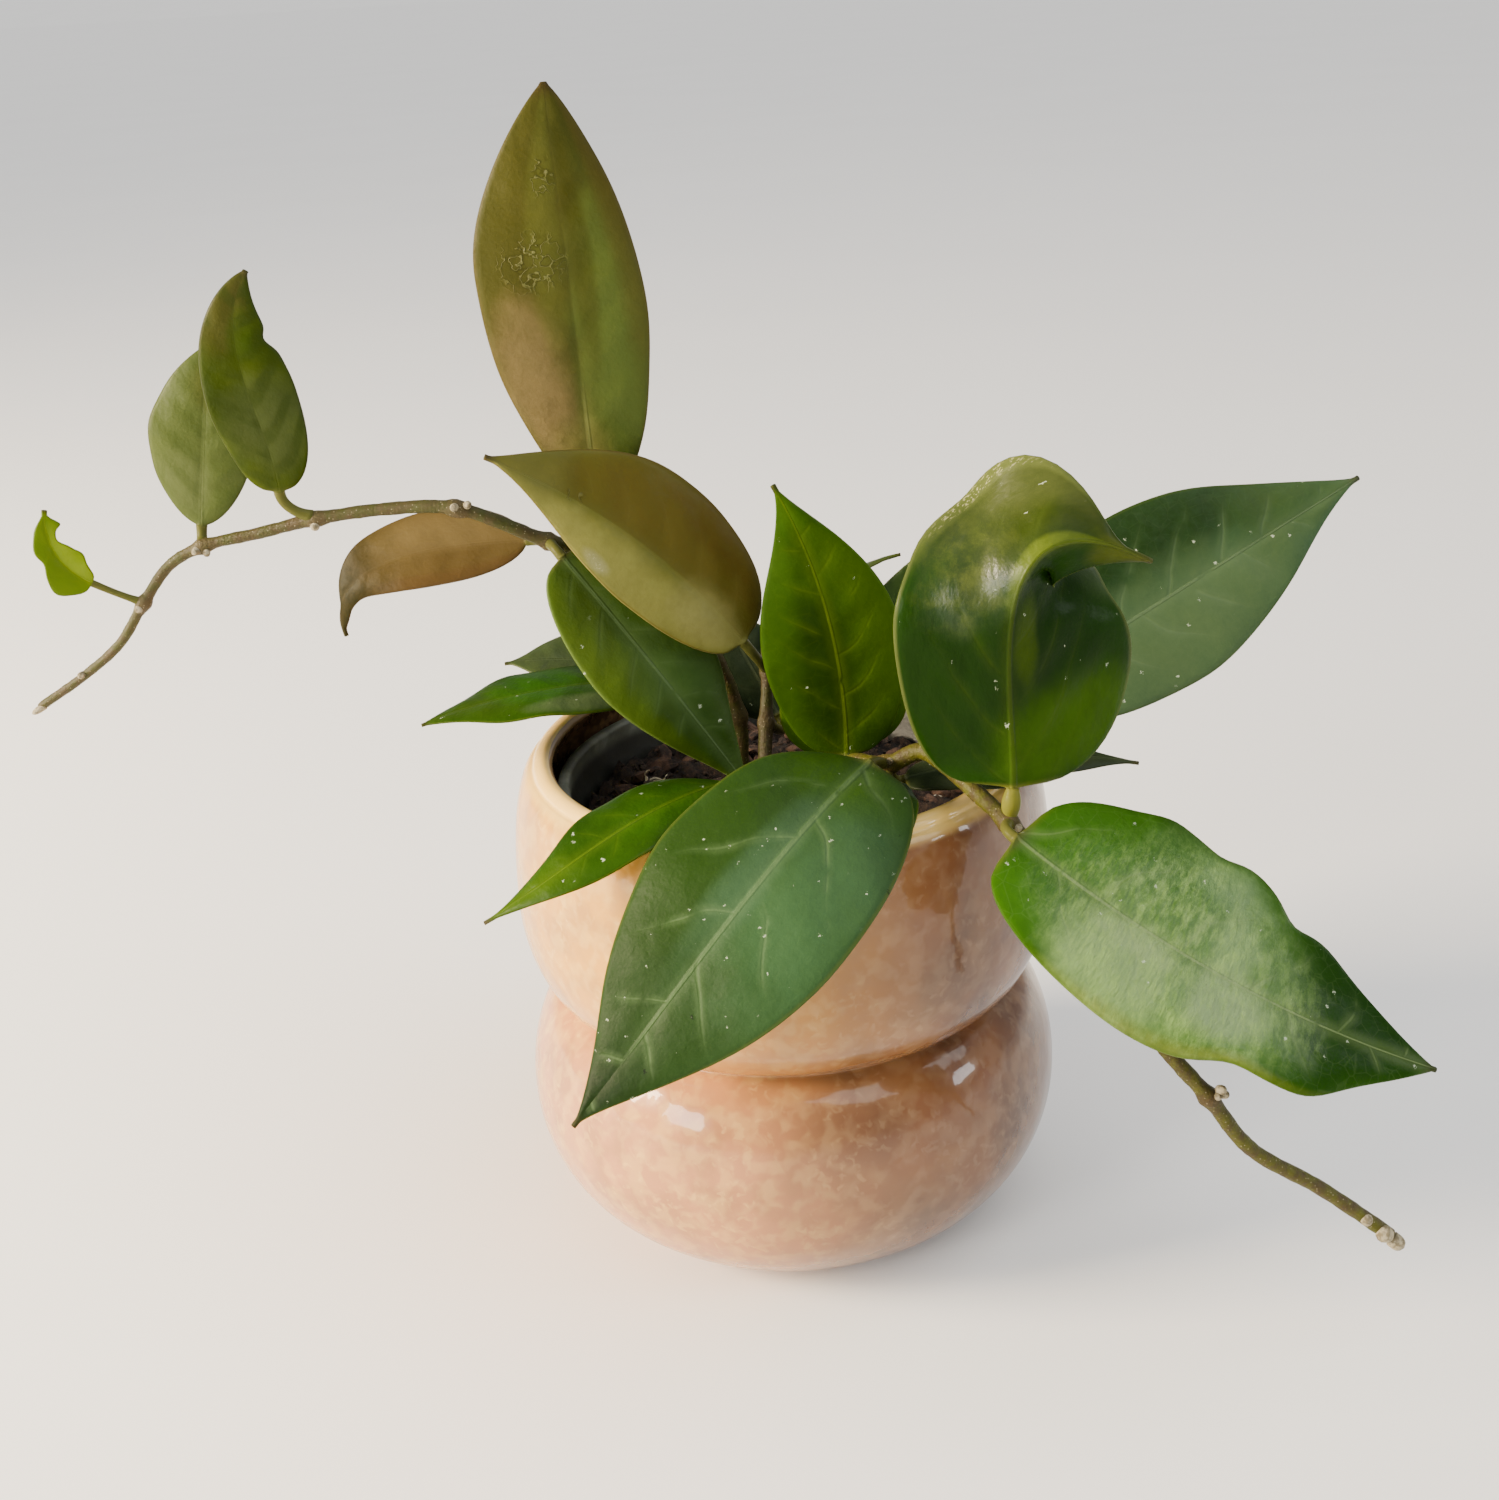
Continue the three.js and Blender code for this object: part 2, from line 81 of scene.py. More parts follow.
# Side veins: how far they run forward for each millimetre across, and how far the left half's are
# shifted against the right half's
VEIN_SLANT = 0.55
VEIN_SHIFT = 0.42

# Fineness of the meshes
POT_SIDES = 168
NURSERY_SIDES = 128
SOIL_SIDES = 144
SOIL_RINGS = 46
STEM_SIDES = 20
STUB_SIDES = 12
ROOT_SIDES = 6
STEM_STEPS = 14
COLUMNS = 32
ROWS = 64
STALK_RINGS = 14

# Loose pieces on the mix: how many, and their shortest and longest in millimetres
BARK_CHIPS = (150, 3.5, 9.0)
SOIL_CRUMBS = (900, 0.9, 2.6)
ROOTS = 34
HIGH_ROOTS = 15
ROOT_STEP = 0.9
ROOT_RADII = (0.32, 0.14)
ROOTS_WITHIN = 41

# How leaf colours turn into pigments under the studio light
BRIGHTNESS = (0.2126, 0.7152, 0.0722)
LEAFY = 1.06
DEPTH = 0.5
GREEN_PURITY = 1.25
GREEN_TINT = (1.03, 0.91, 0.78)

NODE = {
    "leftA": (-46, 4, 159.5), "leftB": (-31, 9, 152), "left1": (-64, 0, 169), "left2": (-94, 2, 168),
    "left3": (-119, 4, 163), "left4": (-134, 5, 151), "leftLow": (-8, 13, 113), "right0": (22, -28, 117),
    "right1": (44, -48, 112), "right2": (81, -67, 58), "middleLow": (-3, -4, 105), "middle": (-2, 3, 115),
    "middleTop": (-1, 8, 126), "backLow": (35, 8, 106), "back": (37, 6, 113),
}

STEMS = {
    "vine_left": dict(
        path=[(-8, 14, 99), "leftLow", (-13, 11, 130), (-21, 7, 144), "leftB", "leftA", "left1",
              (-79, 1, 169.5), "left2", (-106, 3, 165.5), "left3", (-127, 5, 159), "left4",
              (-141, 6, 142), (-150, 7, 135), (-163, 8, 127)],
        radius=(1.7, 0.95)),
    "vine_right": dict(
        path=[(8, -9, 99), (11, -14, 109), (16, -21, 115), "right0", (29, -31, 121), (34, -36, 119),
              (38, -43, 117), "right1", (52, -54, 103), (62, -60, 88), (71, -65, 71), "right2",
              (90, -67, 45), (105, -67, 34), (121, -68, 21)],
        radius=(1.9, 1.5)),
    "stem_middle": dict(
        path=[(-3, -6, 98), "middleLow", "middle", "middleTop", (-1, 10, 132)],
        radius=(1.8, 1.1)),
    "stem_back": dict(
        path=[(33, 9, 99), "backLow", "back", (36, 7, 119)],
        radius=(1.8, 1.2)),
}

# What holds for a leaf, for each of its halves and for its look where the table below says nothing
LEAF = dict(arch=0, bend=0, fold=(8, -14), wave=0.5, petiole=1.2)
HALF = dict(belly=0.4, round=0.4, point=1.4, droop=(0, 0), swell=())
LOOK = dict(veins=6, rib=0.3, rib_wide=0.6, rib_end=1.2, side=0.1, net=0, flecks=0.08, rough=0.3,
            gloss=0.08, rim="#66763c", rim_share=0.4, tip="#4c4526", stalk="#6f7034", stalk_swell=0,
            places=(), scars=())

# fold is the blade's turn in degrees at the rib and at the margin, droop (turn, share along) more of
# it at one place, swell (share along, share of the width, spread) wider or narrower places.
# In a look, base and dark are the two broad greens. places are soft patches of another colour, each
# (share across, share along, half width, half height, colour, strength): some the leaf's own colours,
# some painted sheen, highlights or shade. scars are rough ones without a colour, glitter ones with
# pale specks of painted glints, sheen a crinkled painted reflection with more gloss. tone paints
# shade on one half: (side, colour, strength). bands: shade painted between the side veins.
# Shares across run from -1 at the left margin to 1 at the right one, tip up.
LEAVES = {
    "leaf_01": dict(
        joint="leftB", base=(-35, 6, 165), tip=(-38, 6, 251), faces=(0.1, -1, 0.2), arch=2,
        left=dict(width=18.5, belly=0.58, round=0.85, point=0.85),
        right=dict(width=15, belly=0.47, round=0.6, point=0.8),
        look=dict(base="#56541a", dark="#4a4c1a", vein="#a7aa5c", rim="#6a5a28", tip="#4a3a1c", veins=7,
            # Painted shade on the right half, where the blade folds at the rib.
            rib=0.55, rib_end=0.36, side=0.02, flecks=0, rough=0.4, gloss=0.08, shaded_half=(1, "#3e4614", 0.4),
            places=[(-0.6, 0.7, 0.4, 0.3, "#5c5a1e", 0.7), (0.6, 0.36, 0.6, 0.38, "#687c4a", 0.85),
                (-0.6, 0.32, 0.42, 0.2, "#9a8352", 0.75), (0.95, 0.75, 0.3, 0.4, "#5c501e", 0.6),
                (-0.22, 0.72, 0.2, 0.32, "#72752c", 0.6), (0.22, 0.62, 0.16, 0.26, "#44481a", 0.6),
                (-0.15, 0.1, 0.6, 0.12, "#96904c", 0.7)],
            scars=[(-0.2, 0.8, 0.16, 0.04), (-0.36, 0.61, 0.32, 0.06)])),
    "leaf_02": dict(
        joint="middleTop", base=(-6, -1, 136), tip=(-55, -14, 183), faces=(0.1, -1, 0.5), arch=1,
        bend=4, fold=(10, -8), left=dict(width=12), right=dict(width=16.5, belly=0.45, point=1.2),
        look=dict(base="#74742a", dark="#666826", vein="#a7a460", rim="#6c5426", tip="#4a3a22", veins=7,
            # Painted shade on the right half.
            rib=0.12, side=0.04, flecks=0, rough=0.34, shaded_half=(1, "#565012", 0.7),
            # Painted glints on the left margin: the specks and the palest place below.
            glints=(-0.82, 0.56, 0.09, 0.04),
            places=[(0.55, 0.42, 0.5, 0.4, "#6a5c20", 0.85), (0.85, 0.22, 0.35, 0.22, "#5e4c1a", 0.7),
                (-0.7, 0.5, 0.55, 0.5, "#a8a452", 0.95), (-0.3, 0.14, 0.5, 0.14, "#a8a25e", 0.7),
                (0.1, 0.88, 0.9, 0.12, "#77763a", 0.7), (-0.8, 0.56, 0.14, 0.05, "#c4c086", 0.6)],
            scars=[(0.05, 0.72, 0.12, 0.03)])),
    "leaf_03": dict(
        joint="leftA", base=(-51, 8.6, 158.6), rib=[(-69, 9, 158), (-87, 9, 153)], tip=(-93, 10, 139),
        faces=(0, -0.8, 0.6),
        left=dict(width=7.8, round=0.6, point=1.6, swell=[(0.84, 0.25, 0.06), (0.97, 2.6, 0.075)]),
        right=dict(width=8.8, round=0.6, point=1.6, swell=[(0.7, 0.12, 0.1), (0.89, -0.85, 0.07)]),
        look=dict(base="#7c6838", dark="#6e592c", vein="#a08a5a", rim="#67502a", tip="#45401c", veins=8,
            rib=0.08, side=0.03, flecks=0, rough=0.42,
            places=[(0.4, 0.35, 0.5, 0.3, "#97804c", 0.6), (-0.95, 0.45, 0.3, 0.5, "#6c4f28", 0.7),
                (0, 1.05, 5, 0.45, "#2e300c", 1), (0, 1, 5, 0.26, "#2e300c", 1)])),
    "leaf_04": dict(
        joint="left3", base=(-119, 6, 167), tip=(-112, 10, 204), faces=(0, -1, 0.2), arch=1,
        left=dict(width=11.5, belly=0.5, round=0.65, point=0.8),
        right=dict(width=10, belly=0.5, round=0.65, point=0.8),
        look=dict(base="#64744a", dark="#55663c", vein="#8f9f74", veins=6, rib=0.12, side=0.03, flecks=0,
            # Painted shade between the side veins.
            pucker_shade=0.4, rim="#4c5230", rough=0.4,
            places=[(0.5, 0.85, 0.8, 0.2, "#5f6636", 0.7), (-0.4, 0.2, 0.6, 0.2, "#717f5c", 0.5)])),
    "leaf_05": dict(
        joint="left2", base=(-100, 0, 175), rib=[(-101.5, -2, 191), (-103.5, -2, 206)], tip=(-99, -2, 220),
        faces=(0.2, -1, 0.2), left=dict(width=8.5, point=0.8),
        right=dict(width=9, point=0.9, swell=[(0.68, -0.2, 0.05)]),
        look=dict(base="#57682e", dark="#3a4a1a", vein="#7c8a54", veins=6, rib=0.05, side=0.02, flecks=0,
            # Painted shade between the side veins, the soft shading of its puckers.
            pucker_shade=0.6, rim="#37401e", rough=0.38,
            places=[(-0.4, 0.85, 0.9, 0.2, "#56521e", 0.8), (0.2, 0.72, 0.4, 0.12, "#4a6422", 0.5),
                (0.2, 0.3, 0.9, 0.2, "#5d6b46", 0.7)])),
    "leaf_06": dict(
        joint="left4", base=(-143, 2, 157), tip=(-149, 0, 174), faces=(0.3, -1, 0.3), bend=-3,
        fold=(25, 10), petiole=0.8,
        left=dict(width=4.8, swell=[(0.2, 0.32, 0.1), (0.48, -0.35, 0.1), (0.86, 0.3, 0.1)]),
        right=dict(width=3.6, swell=[(0.3, 0.25, 0.12), (0.66, -0.4, 0.09), (0.88, 2.6, 0.07)]),
        look=dict(base="#7f9c1a", dark="#6c8a0e", vein="#b3c45a", veins=5, rib=0.2, side=0.05, flecks=0,
            rim="#54631c", places=[(0.7, 0.4, 0.6, 0.4, "#9dba4c", 0.8)])),
    "leaf_07": dict(
        joint="leftLow", base=(-28, 27, 120), tip=(-61, 24, 125), faces=(0, -0.4, 1), arch=2,
        left=dict(width=11), right=dict(width=11),
        # The pale rim is partly the margin's own colour and partly a painted highlight along it.
        look=dict(base="#56684a", dark="#46563a", vein="#7a8a68", rib=0.2, side=0.1, rim="#8b9874")),
    "leaf_08": dict(
        joint="leftLow", base=(-26, 11, 123), tip=(-77, -2, 121.5), faces=(0, -0.1, 1), arch=3,
        left=dict(width=12, point=1.1), right=dict(width=12, point=1.1),
        look=dict(base="#40600a", dark="#2e4a06", vein="#7a8f52", rib=0.2, side=0.06, rough=0.3, gloss=0.05,
            places=[(0, 0.82, 1.2, 0.22, "#4c6634", 0.5), (0.2, 0.5, 0.7, 0.18, "#447206", 0.8),
                # The pale place at (-0.7, 0.3) is a painted gloss streak along the margin.
                (-0.7, 0.3, 0.25, 0.25, "#8f9f88", 0.35)])),
    "leaf_09": dict(
        joint="leftA", base=(-43, -1, 157.5), tip=(-6, -7, 103), faces=(0.35, -1, 0.4), arch=2,
        left=dict(width=14.5), right=dict(width=12.5),
        look=dict(base="#526c3e", dark="#445c34", vein="#84a07a", veins=7, rib=0.5, side=0.14, flecks=0.04,
            rough=0.36, rim="#7f9a62",
            places=[(0.95, 0.45, 0.4, 0.55, "#587030", 0.7), (0, 0.22, 1.2, 0.24, "#586e38", 0.7),
                (-0.4, 0.4, 0.6, 0.3, "#4a6a40", 0.5), (0.1, 0.85, 0.8, 0.2, "#2f4c1c", 0.6)])),
    "leaf_10": dict(
        joint="middleLow", base=(15, -6, 110), tip=(2, -8, 172), faces=(0, -1, 0.3), arch=-2,
        bend=4, left=dict(width=15.5), right=dict(width=14.5),
        look=dict(base="#456408", dark="#345004", vein="#86a045", veins=7, rib=0.55, side=0.2, flecks=0.04,
            net=0.04, rough=0.34, gloss=0.06, rim="#5c7f2c",
            places=[(-0.3, 0.3, 0.6, 0.25, "#2a4004", 0.75), (-0.8, 0.6, 0.35, 0.4, "#52760e", 0.6),
                (0.7, 0.45, 0.45, 0.35, "#5a7a0a", 0.7), (0, 0.93, 0.9, 0.1, "#5c8a20", 0.6)])),
    "leaf_11": dict(
        joint="right1", base=(45, -47, 119), rib=[(44.1, -48, 143), (48.2, -50, 166)], tip=(72, -42, 162),
        faces=(0, -1, 0.2),
        left=dict(width=23.2, belly=0.74, point=3.2, round=0.28, fold=(-8, -10), droop=(-41, 0.69),
            swell=[(0.76, -0.06, 0.04), (0.525, -0.043, 0.05)]),
        right=dict(width=28.6, belly=0.27, point=0.95, round=0.43, fold=(-23.7, -31.4), droop=(-34.6, 0.64),
            swell=[(0.606, 0.34, 0.082)]),
        # Painted light on this leaf: sheen, the pale specks and the grey-green places on the upper left
        # half and at the upper right margin, the cream place at (-0.3, 0.53), the pale crest along the rib
        # and the pale top-left margin are painted sheen and highlights; the dark place under the crest at
        # (0.5, 0.5) is painted shade over a darker green.
        look=dict(base="#2b4a04", dark="#1f3602", vein="#627640", veins=6, rib=0.36, side=0.12, flecks=0.05,
            glints=(-0.95, 0.7, 0.07, 0.1), sheen=(-0.5, 0.57, 0.45, 0.12, "#74844a", 0.35), rough=0.28,
            gloss=0.045, rim="#7f8c60", rim_share=0.5, tip="#5a5c28", stalk="#8a8a34", stalk_swell=0.7,
            places=[(-0.6, 0.76, 0.65, 0.2, "#485634", 0.95), (-0.4, 0.7, 0.2, 0.12, "#3c4c20", 0.6),
                (-0.75, 0.78, 0.3, 0.1, "#66724c", 0.5), (-0.3, 0.53, 0.2, 0.045, "#5e6a42", 0.4),
                (0.95, 0.58, 0.25, 0.12, "#61745a", 0.6), (0.5, 0.14, 0.7, 0.14, "#4c6e04", 0.9),
                (-0.6, 0.28, 0.6, 0.2, "#203802", 0.8), (0.5, 0.5, 0.4, 0.22, "#1d3400", 0.85),
                (0.13, 0.42, 0.09, 0.12, "#587034", 0.5), (-0.04, 0.74, 0.08, 0.2, "#778c4a", 0.8),
                (-0.98, 0.72, 0.12, 0.16, "#8a9a68", 0.5), (0, 0.97, 0.9, 0.08, "#6f7a44", 0.7)])),
    "leaf_12": dict(
        joint="back", base=(55, 4, 119), tip=(132, 20, 158), faces=(0, -1, 0.5), arch=2,
        left=dict(width=22, point=1.2), right=dict(width=19),
        look=dict(base="#4c6c52", dark="#446248", vein="#88a284", veins=7, rib=0.45, side=0.24, flecks=0.06,
            net=0.03, rough=0.36, rim="#53683a", tip="#4c4a34",
            places=[(-0.75, 0.45, 0.55, 0.4, "#22380c", 0.9), (0.45, 0.4, 0.7, 0.5, "#6a8464", 0.8),
                (-0.3, 0.88, 0.9, 0.2, "#4e6640", 0.6)])),
    "leaf_13": dict(
        joint="right0", base=(18, -35, 120.5), rib=[(-3, -62, 112.5), (-25, -73, 90)], tip=(-44, -79, 68.5),
        faces=(-0.2, -0.8, 0.8), left=dict(width=22), right=dict(width=22),
        look=dict(base="#43603e", dark="#3b5634", vein="#7f9d78", veins=5.5, rib=0.5, rib_wide=0.85,
            rib_end=0.85, side=0.42, flecks=0.11, crumbs=0.015, rough=0.42, gloss=0.06, rim="#6c7a44",
            places=[(0.65, 0.5, 0.55, 0.5, "#304a22", 0.85), (-0.5, 0.5, 0.6, 0.4, "#4f7154", 0.75),
                (0.1, 0.45, 0.2, 0.3, "#587862", 0.5), (0, 0.06, 0.9, 0.1, "#466628", 0.7),
                # The two dark places over the lower part and the tip are painted shade.
                (0, 0.78, 1.4, 0.26, "#2c4422", 0.95), (0, 0.97, 1.4, 0.18, "#1c2e0e", 0.95)])),
    "leaf_14": dict(
        joint="middleLow", base=(-11, -22, 112), rib=[(-27, -43, 116), (-43, -52, 110)],
        tip=(-60, -54, 100), faces=(0, -0.3, 1), left=dict(width=8.5), right=dict(width=9.5),
        look=dict(base="#3c5c10", dark="#2f4c08", vein="#7f9c4a", veins=7, rib=0.4, side=0.12, flecks=0.08,
            rough=0.32, rim="#5f7030", tip="#6a5848",
            places=[(0, 0.85, 1.0, 0.2, "#52702c", 0.7), (-0.2, 0.25, 0.7, 0.2, "#4a7408", 0.7)])),
    "leaf_15": dict(
        joint="right0", base=(22, -33, 115.3), tip=(21, -57, 107.8), faces=(0, -0.3, 1), arch=3.4,
        left=dict(width=5), right=dict(width=6),
        look=dict(base="#3c5e1c", dark="#2a4410", vein="#6f8a48", veins=5)),
    "leaf_16": dict(
        joint="right0", base=(26, -25, 112), tip=(74, -28, 114), faces=(0, -0.1, 1), arch=3,
        left=dict(width=9), right=dict(width=9),
        look=dict(base="#404e3c", dark="#323e2e", vein="#6a7a5e", rim="#39452c")),
    "leaf_17": dict(
        joint="right1", base=(44, -56, 112.6), tip=(123, -74, 66), faces=(0.2, -0.7, 0.8), arch=4,
        bend=7, wave=1.2,
        left=dict(width=25, belly=0.35, round=0.35, point=1.1, swell=[(0.25, 0.06, 0.07),
            (0.4, -0.05, 0.05), (0.72, 0.12, 0.06), (0.62, -0.06, 0.04)]),
        right=dict(width=19.5, belly=0.35, round=0.3, point=1, swell=[(0.56, -0.12, 0.06),
            (0.74, 0.18, 0.08)]),
        look=dict(base="#3c6206", dark="#305404", vein="#a3bf90", veins=5.5, rib=0.6, side=0.3, flecks=0.05,
            net=0.06, rough=0.3, gloss=0.04, wrinkle=0.9, rim="#4f6f24", tip="#3c3c20",
            # The sheen and the pale whitish-green places across the middle of the blade are painted sheen.
            sheen=(0.12, 0.4, 0.95, 0.27, "#b0d890", 0.7),
            places=[(0.1, 0.41, 1.1, 0.27, "#6c9456", 0.95), (0.6, 0.3, 0.45, 0.14, "#a4c890", 0.8),
                (-0.5, 0.34, 0.35, 0.12, "#4c7636", 0.8), (0.3, 0.52, 0.4, 0.09, "#a8c89a", 0.8),
                (0.16, 0.3, 0.16, 0.1, "#b4d4a0", 0.7), (-0.25, 0.5, 0.3, 0.05, "#94b886", 0.7),
                (-0.75, 0.45, 0.2, 0.1, "#8fb286", 0.6), (0.1, 0.42, 0.7, 0.03, "#4f7a40", 0.5),
                (-0.6, 0.1, 0.6, 0.14, "#4d7a02", 0.95), (0.6, 0.06, 0.7, 0.1, "#4a7602", 0.9),
                (-0.2, 0.86, 1.2, 0.2, "#223f02", 0.95), (1.0, 0.45, 0.14, 0.25, "#92a25a", 0.6)])),
    "leaf_18": dict(
        joint="middleTop", base=(8, 13, 128), tip=(30, 16, 148), faces=(0, 0.2, 1), arch=5,
        left=dict(width=6), right=dict(width=6),
        look=dict(base="#5c6e4a", dark="#45572f", vein="#8c9c70", veins=5)),
    "leaf_19": dict(
        joint="back", base=(30, 10, 118), tip=(38, 14, 153), faces=(0, -1, 0.4), left=dict(width=12),
        right=dict(width=11),
        look=dict(base="#4c6646", dark="#3b5130", vein="#74895e")),
    "leaf_20": dict(
        joint="middle", base=(1, 18, 111), tip=(-12, 22, 138), faces=(0, -1, 0.4), left=dict(width=9),
        right=dict(width=9),
        look=dict(base="#46564a", dark="#35432f", vein="#8a9a80", veins=5, rib=0.4, side=0.1)),
    "leaf_21": dict(
        joint="backLow", base=(15, 2, 107), tip=(10, 4, 137), faces=(0, -1, 0.3), petiole=1,
        left=dict(width=12, belly=0.35), right=dict(width=16, belly=0.3),
        look=dict(base="#567a1a", dark="#426210", vein="#8aa04c")),
}


# Meshes

def unit(v):
    return v / np.linalg.norm(v, axis=-1, keepdims=True)


def linear(code):
    """Scene-linear colour of a hex code."""
    parts = [int(code[i:i + 2], 16) / 255 for i in (1, 3, 5)]
    return [p / 12.92 if p <= 0.04045 else ((p + 0.055) / 1.055) ** 2.4 for p in parts] + [1.0]


def pigment(code):
    """Leaf pigment for a colour that is seen in the studio light: darker than it, and greens purer."""
    parts = linear(code)[:3]
    grey = sum(share * part for share, part in zip(BRIGHTNESS, parts))
    purity, tint = (GREEN_PURITY, GREEN_TINT) if parts[1] > parts[0] * LEAFY else (1, (1, 1, 1))
    return [max(0.001, (grey + (part - grey) * purity) * DEPTH * t) for part, t in zip(parts, tint)] + [1.0]


def new_piece(name, points, faces, material, smooth=True, attributes=None, slots=None):
    mesh = bpy.data.meshes.new(name)
    mesh.from_pydata((np.asarray(points) * MM).tolist(), [], faces)
    for key, values in (attributes or {}).items():
        layer = mesh.attributes.new(key, "FLOAT_VECTOR", "POINT")
        layer.data.foreach_set("vector", np.asarray(values, dtype=np.float32).ravel())
    work = bmesh.new()
    work.from_mesh(mesh)
    bmesh.ops.recalc_face_normals(work, faces=work.faces)
    work.to_mesh(mesh)
    work.free()
    mesh.polygons.foreach_set("use_smooth", [smooth] * len(mesh.polygons))
    for one in material if isinstance(material, (list, tuple)) else [material]:
        mesh.materials.append(one)
    if slots is not None:
        mesh.polygons.foreach_set("material_index", slots)
    piece = bpy.data.objects.new(name, mesh)
    bpy.context.scene.collection.objects.link(piece)
    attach(piece, "root")
    return piece


def ring_faces(rings, count, close_ends=True):
    """Faces between rings of points, and one over each end."""
    faces = []
    for i in range(rings - 1):
        for j in range(count):
            k = (j + 1) % count
            faces.append((i * count + j, i * count + k, (i + 1) * count + k, (i + 1) * count + j))
    if close_ends:
        faces.append(tuple(range(count)))
        faces.append(tuple(reversed(range((rings - 1) * count, rings * count))))
    return faces


def joined(bodies):
    """One mesh of many: bodies are (points, faces)."""
    starts = np.cumsum([0] + [len(points) for points, _ in bodies]).tolist()
    faces = [[i + start for i in face] for (_, shape), start in zip(bodies, starts) for face in shape]
    return np.vstack([points for points, _ in bodies]), faces


def turned(name, profile, sides, material, slot_of=lambda i: 0, wobble=0.0):
    """A body of revolution from radius and height, closed on the axis at both ends."""
    profile = np.asarray(profile, dtype=float)
    angles = np.linspace(0, 2 * math.pi, sides, endpoint=False)
    inner = profile[1:-1]
    radius, height = (np.repeat(column[:, None], sides, axis=1) for column in inner.T)
    radius = radius * (1 + wobble * np.sin(2 * angles + height / 30)
                       + wobble * 0.6 * np.sin(3 * angles + 1 - height / 22))
    points = np.stack([radius * np.cos(angles), radius * np.sin(angles), height], axis=-1).reshape(-1, 3)
    first, last = len(points), len(points) + 1
    points = np.vstack([points, [[0, 0, profile[0, 1]], [0, 0, profile[-1, 1]]]])
    faces = ring_faces(len(inner), sides, close_ends=False)
    slots = [slot_of(i) for i in range(len(inner) - 1) for _ in range(sides)]
    end = (len(inner) - 1) * sides
    for j in range(sides):
        k = (j + 1) % sides
        faces += [(first, k, j), (last, end + j, end + k)]
        slots += [slot_of(0), slot_of(len(inner) - 2)]
    return new_piece(name, points, faces, material, slots=slots)


# Materials

class Shader:
    """A node material, built with short calls. Values may be sockets or plain numbers.

    color is the surface's colour so far.
    """

    def __init__(self, name):
        self.material = bpy.data.materials.new(name)
        self.material.use_nodes = True
        self.tree = self.material.node_tree
        self.surface = self.tree.nodes["Principled BSDF"]

    def put(self, socket, value):
        if isinstance(value, bpy.types.NodeSocket):
            self.tree.links.new(value, socket)
        else:
            socket.default_value = value

    def node(self, kind, out=0, settings=None, **inputs):
        node = self.tree.nodes.new("ShaderNode" + kind)
        for key, value in (settings or {}).items():
            setattr(node, key, value)
        for key, value in inputs.items():
            self.put(node.inputs[int(key[1:]) if key[1:].isdigit() else key], value)
        return node.outputs[out]

    def math(self, how, a, b=0.0, c=0.0):
        return self.node("Math", settings={"operation": how}, i0=a, i1=b, i2=c)

    def times(self, a, b):
        return self.math("MULTIPLY", a, b)

    def plus(self, a, b):
        return self.math("ADD", a, b)

    def minus(self, a, b):
        return self.math("SUBTRACT", a, b)

    def scaled(self, value, by, start):
        """value times by, plus start."""
        return self.math("MULTIPLY_ADD", value, by, start)

    def mix(self, share, a, b):
        return self.node("Mix", out=2, settings={"data_type": "RGBA"}, i0=share, i6=a, i7=b)

    def step(self, value, low, high):
        """0 at low and 1 at high, with a soft change between them."""
        return self.node("MapRange", settings={"interpolation_type": "SMOOTHSTEP"},
                         i0=value, i1=low, i2=high, i3=0.0, i4=1.0)

    def noise(self, vector, scale, detail=3.0, rough=0.55, out=0):
        return self.node("TexNoise", out=out, Vector=vector, Scale=scale, Detail=detail, Roughness=rough)

    def spots(self, vector, scale, detail, low, high):
        """Noise with a soft change from none at low to full at high."""
        return self.step(self.noise(vector, scale, detail), low, high)

    def cells(self, vector, scale, feature="F1", out=0):
        return self.node("TexVoronoi", out=out, settings={"feature": feature}, Vector=vector, Scale=scale)

    def attribute(self, name):
        return self.node("Attribute", out=1, settings={"attribute_name": name})

    def parts(self, vector):
        node = self.tree.nodes.new("ShaderNodeSeparateXYZ")
        self.put(node.inputs[0], vector)
        return list(node.outputs)

    def place(self):
        """The point in millimetres."""
        metres = self.node("TexCoord", out=3)
        return self.node("VectorMath", settings={"operation": "SCALE"}, i0=metres, Scale=1 / MM)

    def shaken(self, vector, scale, detail, far):
        """The vector, pushed about by a noise: up to far on each axis."""
        push = self.noise(vector, scale, detail, out=1)
        push = self.node("VectorMath", settings={"operation": "SCALE"}, i0=push, Scale=far)
        return self.node("VectorMath", settings={"operation": "ADD"}, i0=vector, i1=push)

    def bump(self, height, depth):
        return self.node("Bump", Strength=1.0, Distance=depth * MM, Height=height)

    def lay(self, cover, other, strength=1.0):
        """Lays another colour over the one so far."""
        self.color = self.mix(cover if strength == 1.0 else self.times(cover, strength), self.color, other)

    def finish(self, roughness, **others):
        """Sets the surface and gives the material."""
        for name, value in dict(Base_Color=self.color, Roughness=roughness, **others).items():
            self.put(self.surface.inputs[name.replace("_", " ")], value)
        return self.material


